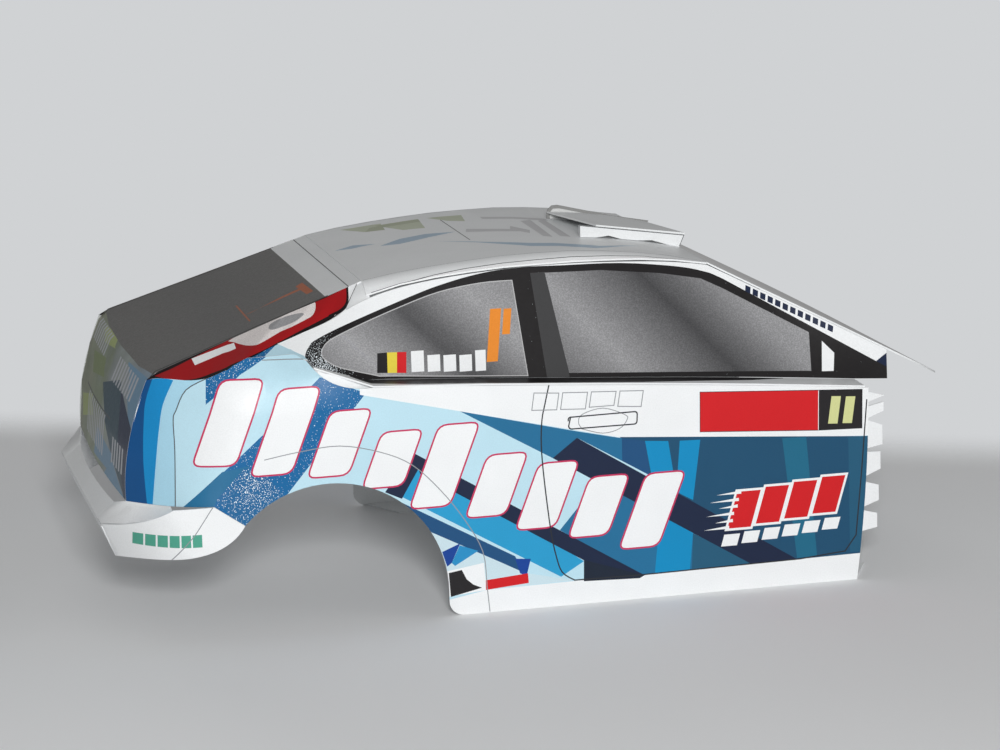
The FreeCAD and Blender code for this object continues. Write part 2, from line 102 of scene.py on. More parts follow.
lampSet = {
    # name: place in metres, size, watts, whether glossy ink mirrors it
    "key": ((-0.105, -0.580, 0.215), 0.09, 2.35, True),
    "front": ((1.1, -0.5, 0.35), 0.6, 2.0, False),
    "left": ((-0.1, 1.3, 0.30), 0.7, 5.0, False),
}
lampAim = Vector((0, 0, 0.02))
for name, (spot, size, watts, mirrored) in lampSet.items():
    bpy.ops.object.light_add(type="AREA", location=spot)
    lamp = bpy.context.object
    lamp.name = name + "Lamp"
    lamp.data.shape = "SQUARE"
    lamp.data.size = size
    lamp.data.energy = watts
    lamp.visible_glossy = mirrored
    lamp.rotation_euler = (lampAim - Vector(spot)).to_track_quat("-Z", "Y").to_euler()


# Helpers for colours and for materials made of nodes


def hexColour(code):
    # A colour as seen on screen, made linear
    parts = [int(code[i:i + 2], 16) / 255 for i in (0, 2, 4)]
    return tuple(((c + 0.055) / 1.055) ** 2.4 if c > 0.04045 else c / 12.92 for c in parts) + (1.0,)


def shaded(colour, amount):
    return tuple(min(1.0, c * amount) for c in colour[:3]) + (1.0,)


def mixColour(nodes, links, factor, first, second, blend="MIX"):
    node = nodes.new("ShaderNodeMix")
    node.data_type = "RGBA"
    node.blend_type = blend
    for slot, value in ((0, factor), (6, first), (7, second)):
        if isinstance(value, (tuple, float)):
            node.inputs[slot].default_value = value
        else:
            links.new(value, node.inputs[slot])
    return node.outputs[2]


def speckled(nodes, links, factor, code, depth):
    # One colour, darker and lighter by depth as the factor goes from 0 to 1
    base = hexColour(code)
    return mixColour(nodes, links, factor, shaded(base, 1 - depth), shaded(base, 1 + depth))


def noiseAt(nodes, links, coords, scale, detail=2.0):
    node = nodes.new("ShaderNodeTexNoise")
    node.inputs["Scale"].default_value = scale
    node.inputs["Detail"].default_value = detail
    links.new(coords, node.inputs["Vector"])
    return node.outputs["Fac"]


def spread(nodes, links, value, start=(0.0, 1.0), end=(0.0, 1.0)):
    # The value, moved from the range start to the range end
    node = nodes.new("ShaderNodeMapRange")
    for name, number in zip(("From Min", "From Max", "To Min", "To Max"), (*start, *end)):
        node.inputs[name].default_value = number
    links.new(value, node.inputs["Value"])
    return node.outputs["Result"]


def vectorMath(nodes, links, operation, value, other):
    node = nodes.new("ShaderNodeVectorMath")
    node.operation = operation
    node.inputs[1].default_value = other
    links.new(value, node.inputs[0])
    return node.outputs["Vector" if operation == "MULTIPLY" else "Value"]


def ramp(nodes, links, value, stops):
    node = nodes.new("ShaderNodeValToRGB")
    links.new(value, node.inputs["Fac"])
    strip = node.color_ramp
    while len(strip.elements) < len(stops):
        strip.elements.new(0.5)
    for element, (spot, colour) in zip(strip.elements, stops):
        element.position = spot
        element.color = hexColour(colour) if isinstance(colour, str) else colour
    return node.outputs["Color"]


def dimmed(nodes, links, colour, value):
    node = nodes.new("ShaderNodeHueSaturation")
    links.new(value, node.inputs["Value"])
    links.new(colour, node.inputs["Color"])
    return node.outputs["Color"]


backgroundSet = {"wall": "D0D2D4", "fill": 0.20}
world = bpy.data.worlds.new("studio")
bpy.context.scene.world = world
world.use_nodes = True
nodes, links = world.node_tree.nodes, world.node_tree.links
wallLight = nodes["Background"]
wallLight.inputs["Color"].default_value = hexColour(backgroundSet["wall"])
fillLight = nodes.new("ShaderNodeBackground")
fillLight.inputs["Color"].default_value = (1.0, 1.0, 1.0, 1.0)
fillLight.inputs["Strength"].default_value = backgroundSet["fill"]
rays = nodes.new("ShaderNodeLightPath")
worldMix = nodes.new("ShaderNodeMixShader")
links.new(rays.outputs["Is Camera Ray"], worldMix.inputs["Fac"])
links.new(fillLight.outputs[0], worldMix.inputs[1])
links.new(wallLight.outputs[0], worldMix.inputs[2])
links.new(worldMix.outputs[0], nodes["World Output"].inputs["Surface"])

bpy.context.scene.view_settings.view_transform = "Standard"

# Pale table top that fades into the wall behind the model
floorSet = {
    "colour": "F0F1F2",
    "cloud": 9.0,  # soft patches, per metre
    "cloudDepth": 0.03,
    "rough": 0.8,
    "gloss": 0.2,
    "edge": [(-69.6, 126.8), (98.3, 37.6)],  # where the wall begins, in the part's frame
    "fade": 0.016,
    "size": 3.0,
    "cuts": 8,
    "drop": 0.00002,  # metres below the model's lowest edge
}


def makeFloor(settings):
    deselectAll()
    bpy.ops.mesh.primitive_plane_add(size=settings["size"], location=(0, 0, -settings["drop"]))
    floor = bpy.context.object
    floor.name = "tableTop"
    bpy.ops.object.transform_apply(location=True)
    bpy.ops.object.mode_set(mode="EDIT")
    bpy.ops.mesh.subdivide(number_cuts=settings["cuts"])
    bpy.ops.object.mode_set(mode="OBJECT")
    material = bpy.data.materials.new("tableTop")
    material.use_nodes = True
    nodes, links = material.node_tree.nodes, material.node_tree.links
    paint = nodes["Principled BSDF"]
    paint.inputs["Roughness"].default_value = settings["rough"]
    paint.inputs["Specular IOR Level"].default_value = settings["gloss"]
    coords = nodes.new("ShaderNodeTexCoord").outputs["Object"]
    cloud = noiseAt(nodes, links, coords, settings["cloud"])
    shade = speckled(nodes, links, cloud, settings["colour"], settings["cloudDepth"])
    links.new(shade, paint.inputs["Base Color"])
    # Distance past the wall's foot
    first, second = [Vector(p) * mm for p in settings["edge"]]
    along = (second - first).normalized()
    across = (-along.y, along.x, 0.0)
    away = vectorMath(nodes, links, "DOT_PRODUCT", coords, across)
    foot = first.x * across[0] + first.y * across[1]
    fade = spread(nodes, links, away, (foot - settings["fade"], foot + settings["fade"]))
    fade.node.interpolation_type = "SMOOTHSTEP"
    clear = nodes.new("ShaderNodeBsdfTransparent")
    mix = nodes.new("ShaderNodeMixShader")
    links.new(fade, mix.inputs["Fac"])
    links.new(paint.outputs[0], mix.inputs[1])
    links.new(clear.outputs[0], mix.inputs[2])
    links.new(mix.outputs[0], nodes["Material Output"].inputs["Surface"])
    floor.data.materials.append(material)


makeFloor(floorSet)
print("camera, lamps and table made")

# Paper and printed inks

paperLook = {
    "grain": 5200.0,  # printer's dots, per metre
    "grainDepth": 0.07,
    "mottle": 150.0,
    "mottleDepth": 0.04,
    "fibre": 1500.0,
    "rough": (0.30, 0.46),
    "bump": 0.10,
    "bumpHeight": 0.0001,
    "gloss": 0.25,
}
inks = {
    "whitePaper": "ECEEEF",
    "sky": "BADCE9",
    "paleSky": "C6DCE4",
    "paleSteel": "A7D2E5",
    "bright": "1A88C4",
    "brightBlade": "0A88BC",
    "midBlue": "2898C8",
    "steel": "236B94",
    "steelDark": "1E4E7A",
    "doorBlue": "1E4D6C",
    "doorBlueLow": "245875",
    "teal": "1F6683",
    "cornerNavy": "164E84",
    "navy": "1B2640",
    "inkDark": "1C2635",
    "ultramarine": "154192",
    "cornflower": "288BC0",
    "black": "242224",
    # Painted shade on the left scoop wall: its inner face, its back and edges, and its curled rim
    "scoopShade": "D0D1D0",
    "scoopEdgeShade": "7C7C7D",
    "scoopRimShade": "8F8F8E",
    "pillarGrey": "3F3F40",
    "line": "55575A",
    # Whiter than the paper: painted light on the roof's drooping rail
    "railLitWhite": "F8FAFB",
    "inkLine": "2C2E33",
    "glassLine": "BDBDBE",
    "paleLine": "8E9195",
    "red": "CD1C22",
    "outlineRed": "C2325C",
    "orange": "E58A2E",
    "yellow": "E1CC47",
    "limeYellow": "CED193",
    "lampRed": "A0161B",
    "lampDark": "1A1416",
    "lens": "DED8D6",
    "lensGrey": "98989A",
    "tornEdge": "A9D6EC",
    "green": "4FA08A",
    "olive": "A3B072",
    "oliveDark": "7E8C62",
    "slate": "6F93AE",
    "roofBlue": "ABBFD0",
    "roofOlive": "C3C9B4",
    "roofOliveDark": "B0B69E",
    "roofGrey": "CCCCCE",
    "tailNavy": "27344E",
    "tailTeal": "3B5360",
    "paleBar": "B7BAC0",
    "faintOrange": "B2633E",
}
coarseInks = {"lens": 4.0, "lensGrey": 4.0}  # how many times stronger their grain is
materials = {}


def plainPaint(nodes, links, coords, grain, settings):
    return speckled(nodes, links, grain, settings["ink"], settings["grainDepth"])


def paperShader(name, paint, settings):
    # Printed paper: paint is called for the ink's colour
    material = bpy.data.materials.new(name)
    material.use_nodes = True
    nodes, links = material.node_tree.nodes, material.node_tree.links
    shader = nodes["Principled BSDF"]
    coords = nodes.new("ShaderNodeTexCoord").outputs["Object"]
    grain = noiseAt(nodes, links, coords, paperLook["grain"], 1.0)
    mottle = noiseAt(nodes, links, coords, paperLook["mottle"])
    fibre = noiseAt(nodes, links, coords, paperLook["fibre"], 4.0)
    colour = paint(nodes, links, coords, grain, settings)
    depth = paperLook["mottleDepth"]
    cloud = spread(nodes, links, mottle, end=(1 - depth, 1 + depth))
    links.new(dimmed(nodes, links, colour, cloud), shader.inputs["Base Color"])
    links.new(spread(nodes, links, fibre, end=paperLook["rough"]), shader.inputs["Roughness"])
    shader.inputs["Specular IOR Level"].default_value = paperLook["gloss"]
    bump = nodes.new("ShaderNodeBump")
    bump.inputs["Strength"].default_value = paperLook["bump"]
    bump.inputs["Distance"].default_value = paperLook["bumpHeight"]
    links.new(fibre, bump.inputs["Height"])
    links.new(bump.outputs["Normal"], shader.inputs["Normal"])
    return material


# Printed window glass: a grey sheen that runs in slanted streaks, in X plus a share of Z
glassPrints = {
    "quarterGlass": {"slant": 1.0, "from": 41.0, "to": 78.0, "stops": [
        (0.0, "A6A6A8"), (0.15, "BCBCBE"), (0.38, "868688"), (0.47, "5E5E60"), (0.55, "6C6C6E"), (0.8, "B4B4B6"),
        (1.0, "A4A4A6")]},
    "doorGlass": {"slant": 0.9, "from": 70.0, "to": 110.0, "stops": [
        (0.0, "868688"), (0.22, "B0B0B2"), (0.46, "7C7C7E"), (0.6, "545456"), (0.72, "78787A"), (0.88, "A8A8AA"),
        (1.0, "AEAEB0")]},
    # The windscreen's glass print is lightened to near white, whiter than the paper: partly print, partly a painted
    # reflection of the wall at a grazing angle
    "screenGlassAndReflection": {"slant": 0.0, "from": 60.0, "to": 106.0, "stops": [
        (0.0, "F4F4F4"), (0.4, "ECECEC"), (0.75, "E4E4E4"), (1.0, "F6F6F6")]},
    "hatchGlass": {"slant": 0.0, "from": -24.0, "to": 3.0, "stops": [
        (0.0, "82817F"), (0.5, "7C7B7A"), (1.0, "82817F")]},
}


glassSpeck = {"share": 0.55, "stops": [(0.3, "5C5C5C"), (0.5, "808080"), (0.7, "A6A6A6")]}


def glassPaint(nodes, links, coords, grain, settings):
    slant = (1.0, 0.0, settings["slant"])
    along = vectorMath(nodes, links, "DOT_PRODUCT", coords, slant)
    ends = [(settings[end] + axleX) * mm for end in ("from", "to")]
    sheen = ramp(nodes, links, spread(nodes, links, along, ends), settings["stops"])
    speck = ramp(nodes, links, grain, glassSpeck["stops"])
    return mixColour(nodes, links, glassSpeck["share"], sheen, speck, "OVERLAY")


# Painted highlights: white specks painted into the ink round one spot, in X and Z, standing for the lamp's glints on
# glossy ink
paintedGlintInks = {
    "sparkleBlue": {"ink": "1F6496", "spot": (-11.0, 22.0), "reach": 9.0, "most": 0.20, "least": 0.07},
    "deepBlue": {"ink": "12649B", "spot": (-11.5, 39.0), "reach": 8.0, "most": 0.14, "least": 0.07},
    "frameBlack": {"ink": "1F1D1E", "spot": (0.8, 38.6), "reach": 7.0, "most": 0.30, "least": -0.07},
}
# Look of the painted highlight specks: the ink's grain, the specks' size, where they begin and end, and their white
paintedGlintLook = {"grainDepth": 0.10, "scale": 6500.0, "from": 0.80, "to": 0.86, "colour": "E4EDF2"}


# The ink's colour with specks of painted highlight mixed in round one spot
def paintedGlintPaint(nodes, links, coords, grain, settings):
    plain = speckled(nodes, links, grain, settings["ink"], paintedGlintLook["grainDepth"])
    x, z = settings["spot"]
    flat = vectorMath(nodes, links, "MULTIPLY", coords, (1.0, 0.0, 1.0))
    away = vectorMath(nodes, links, "DISTANCE", flat, ((x + axleX) * mm, 0.0, z * mm))
    share = spread(nodes, links, away, (0.0, settings["reach"] * mm), (settings["most"], settings["least"]))
    more = nodes.new("ShaderNodeMath")
    links.new(noiseAt(nodes, links, coords, paintedGlintLook["scale"], 0.0), more.inputs[0])
    links.new(share, more.inputs[1])
    dark, light = (0, 0, 0, 1), (1, 1, 1, 1)
    stops = [(0.0, dark), (paintedGlintLook["from"], dark), (paintedGlintLook["to"], light)]
    paintedGlints = ramp(nodes, links, more.outputs[0], stops)
    return mixColour(nodes, links, paintedGlints, plain, hexColour(paintedGlintLook["colour"]))


# Printed scenery on the tail, olive on the left side of the car and slate on the right, darkened with painted shade
# because the tail faces away from the lamps; its soft patches are partly print, partly painted shade
tailPrintAndShade = {
    "halfWidth": 0.038,
    "drift": 0.05,  # how far the colours wander, in metres
    "driftScale": 95.0,
    "patchScale": 130.0,
    "patches": (0.45, 1.25),  # darkest and lightest
    "stops": [(0.0, "9C9F8C"), (0.4, "8F9B83"), (0.62, "98A0A0"), (1.0, "8496A8")],
}


def tailPrintAndShadePaint(nodes, links, coords, grain, settings):
    place = nodes.new("ShaderNodeSeparateXYZ")
    links.new(coords, place.inputs[0])
    drift = nodes.new("ShaderNodeMath")
    drift.operation = "MULTIPLY_ADD"
    drift.inputs[1].default_value = settings["drift"]
    links.new(noiseAt(nodes, links, coords, settings["driftScale"]), drift.inputs[0])
    links.new(place.outputs["Y"], drift.inputs[2])
    middle, half = settings["drift"] / 2, settings["halfWidth"]
    span = spread(nodes, links, drift.outputs[0], (middle + half, middle - half))
    blend = ramp(nodes, links, span, settings["stops"])
    patches = noiseAt(nodes, links, coords, settings["patchScale"])
    return dimmed(nodes, links, blend, spread(nodes, links, patches, end=settings["patches"]))


paints = {"tailSceneryAndShade": (tailPrintAndShadePaint, tailPrintAndShade)}
paints.update({name: (glassPaint, settings) for name, settings in glassPrints.items()})
paints.update({name: (paintedGlintPaint, settings) for name, settings in paintedGlintInks.items()})


def inkOf(name):
    if name not in materials:
        if name in paints:
            materials[name] = paperShader(name, *paints[name])
        else:
            depth = paperLook["grainDepth"] * coarseInks.get(name, 1.0)
            materials[name] = paperShader(name, plainPaint, {"ink": inks[name], "grainDepth": depth})
    return materials[name]


# Cutting prints into a copied sheet

sideView, topView, rearView = (0, 2), (0, 1), (1, 2)


def copySheet(node, pieceName, slot, base, printed, edge="whitePaper"):
    # A welded copy of a CAD sheet. printed says of a face's normal whether the print is on it
    piece = bpy.data.objects.new(pieceName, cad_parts[node].data.copy())
    bpy.context.collection.objects.link(piece)
    piece.data.materials.clear()
    piece.data.materials.append(inkOf(edge))
    piece.data.materials.append(inkOf(base))
    pick(piece)
    bpy.ops.mesh.customdata_custom_splitnormals_clear()
    for face in piece.data.polygons:
        face.material_index = 1 if printed(face.normal) else 0
    bpy.ops.object.mode_set(mode="EDIT")
    bpy.ops.mesh.select_mode(type="FACE")
    bpy.ops.mesh.select_all(action="SELECT")
    bpy.ops.mesh.remove_doubles(threshold=weldGap)
    bpy.ops.object.mode_set(mode="OBJECT")
    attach(piece, "root")
    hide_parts(node)
    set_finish(piece, slot)
    return piece


def inkIndex(piece, ink):
    # The first slot is the paper's bare back and edges, so white print gets a slot of its own
    names = [material.name for material in piece.data.materials][1:]
    if ink not in names:
        piece.data.materials.append(inkOf(ink))
        return len(names) + 1
    return names.index(ink) + 1


def sheetPoint(point, view):
    first = point[0] + axleX if view[0] == 0 else point[0]
    return first * mm, point[1] * mm


def crossedFaces(mesh, start, stop, view):
    # Printed faces that the line from start to stop passes through
    i, k = view
    length = dist(start, stop)
    ux, uy = (stop[0] - start[0]) / length, (stop[1] - start[1]) / length
    crossed = []
    for face in mesh.faces:
        if face.material_index == 0:
            continue
        steps = [(vert.co[i] - start[0], vert.co[k] - start[1]) for vert in face.verts]
        off = [b * ux - a * uy for a, b in steps]
        on = [a * ux + b * uy for a, b in steps]
        if min(off) < -weldGap and max(off) > weldGap and max(on) > -weldGap and min(on) < length + weldGap:
            crossed.append(face)
    return crossed


def insideOutline(point, outline):
    inside = False
    for (ax, ay), (bx, by) in zip(outline, outline[1:] + outline[:1]):
        if (ay > point[1]) != (by > point[1]) and point[0] < (bx - ax) * (point[1] - ay) / (by - ay) + ax:
            inside = not inside
    return inside


def printShape(piece, ink, outline, view=sideView):
    # Called in edit mode: cuts the outline into the printed faces and inks what lies inside
    points = [sheetPoint(p, view) for p in outline]
    index = inkIndex(piece, ink)
    i, k = view
    for start, stop in zip(points, points[1:] + points[:1]):
        length = dist(start, stop)
        if length < cutGap:
            continue
        bpy.ops.mesh.select_all(action="DESELECT")
        mesh = bmesh.from_edit_mesh(piece.data)
        crossed = crossedFaces(mesh, start, stop, view)
        if not crossed:
            continue
        for face in crossed:
            face.select_set(True)
        spot, normal = [0.0, 0.0, 0.0], [0.0, 0.0, 0.0]
        spot[i], spot[k] = start
        normal[i], normal[k] = (start[1] - stop[1]) / length, (stop[0] - start[0]) / length
        bpy.ops.mesh.bisect(plane_co=spot, plane_no=normal, threshold=cutGap)
    bpy.ops.mesh.select_all(action="DESELECT")
    mesh = bmesh.from_edit_mesh(piece.data)
    left, right = min(p[0] for p in points), max(p[0] for p in points)
    bottom, top = min(p[1] for p in points), max(p[1] for p in points)
    for face in mesh.faces:
        if face.material_index:
            centre = face.calc_center_median()
            a, b = centre[i], centre[k]
            if left < a < right and bottom < b < top and insideOutline((a, b), points):
                face.select_set(True)
    piece.active_material_index = index
    bpy.ops.object.material_slot_assign()


def printLine(piece, ink, points, width, view=sideView, closed=False):
    # A thin drawn line, one short bar for each stretch
    ends = points + points[:1] if closed else points
    for (ax, ay), (bx, by) in zip(ends, ends[1:]):
        length = dist((ax, ay), (bx, by))
        if length < shortestLine:
            continue
        ux, uy = (bx - ax) / length * width / 2, (by - ay) / length * width / 2
        bar = [(ax - ux + uy, ay - uy - ux), (bx + ux + uy, by + uy - ux), (bx + ux - uy, by + uy + ux),
               (ax - ux - uy, ay - uy + ux)]
        printShape(piece, ink, bar, view)


def printShapes(piece, shapes, view=sideView):
    for ink, outline in shapes:
        printShape(piece, ink, outline, view)


def printLines(piece, lines, view=sideView, closed=False):
    for ink, width, points in lines:
        printLine(piece, ink, points, width, view, closed)


def shrunk(outline, amount):
    # The outline with every side moved inwards
    area = sum(ax * by - bx * ay for (ax, ay), (bx, by) in zip(outline, outline[1:] + outline[:1]))
    turn = 1 if area > 0 else -1
    lines = []
    for (ax, ay), (bx, by) in zip(outline, outline[1:] + outline[:1]):
        length = dist((ax, ay), (bx, by))
        nx, ny = -(by - ay) / length * turn, (bx - ax) / length * turn
        lines.append((ax + nx * amount, ay + ny * amount, bx - ax, by - ay))
    result = []
    for (px, py, pdx, pdy), (qx, qy, qdx, qdy) in zip(lines[-1:] + lines[:-1], lines):
        cross = pdx * qdy - pdy * qdx
        t = ((qx - px) * qdy - (qy - py) * qdx) / cross
        result.append((px + pdx * t, py + pdy * t))
    return result


def startPrint(piece):
    pick(piece)
    bpy.ops.object.mode_set(mode="EDIT")
    bpy.ops.mesh.select_mode(type="FACE")


def endPrint(piece):
    bpy.ops.mesh.select_all(action="DESELECT")
    bpy.ops.object.mode_set(mode="OBJECT")
    pick(piece)
    bpy.ops.object.shade_smooth_by_angle(angle=creaseAngle)


def mirrorSheet(piece, node, pieceName):
    # The left sheet is the right one turned over
    twin = piece.copy()
    twin.data = piece.data.copy()
    twin.name = pieceName
    bpy.context.collection.objects.link(twin)
    pick(twin)
    bpy.ops.object.mode_set(mode="EDIT")
    bpy.ops.mesh.select_all(action="SELECT")
    bpy.ops.transform.resize(value=(1, -1, 1), center_override=(0, 0, 0))
    bpy.ops.mesh.normals_make_consistent(inside=False)
    bpy.ops.object.mode_set(mode="OBJECT")
    for key in [k for k in twin.keys() if k.startswith("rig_")]:
        del twin[key]
    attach(twin, "root")
    if node:
        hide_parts(node)
    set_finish(twin, piece["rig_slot"])
    return twin


def curved(points, parts=4):
    # The points joined by a smooth curve through each of them
    ends = points[:1] + points + points[-1:]
    result = []
    for a, b, c, d in zip(ends, ends[1:], ends[2:], ends[3:]):
        for step in range(parts):
            t = step / parts
            result.append(tuple(0.5 * (2 * b[i] + (c[i] - a[i]) * t + (2 * a[i] - 5 * b[i] + 4 * c[i] - d[i]) * t * t
                                       + (3 * b[i] - a[i] - 3 * c[i] + d[i]) * t ** 3) for i in (0, 1)))
    return result + points[-1:]


def softened(outline, reach, parts=4):
    # The outline with its corners rounded off
    result = []
    for before, corner, after in zip(outline[-1:] + outline[:-1], outline, outline[1:] + outline[:1]):
        ends = []
        for other in (before, after):
            share = reach / dist(corner, other)
            ends.append([corner[i] + (other[i] - corner[i]) * share for i in (0, 1)])
        for step in range(parts + 1):
            t = step / parts
            result.append(tuple((1 - t) ** 2 * ends[0][i] + 2 * (1 - t) * t * corner[i] + t * t * ends[1][i]
                                for i in (0, 1)))
    return result


def bothSides(points):
    # The points seen from above, then the same points on the car's other side
    return points, [(x, -y) for x, y in points]


def slanted(x, z, width, height, lean):
    # A leaning block about its centre
    shift = lean * height / 2
    return [(x - width / 2 - shift, z - height / 2), (x + width / 2 - shift, z - height / 2),
            (x + width / 2 + shift, z + height / 2), (x - width / 2 + shift, z + height / 2)]


# Side sheet

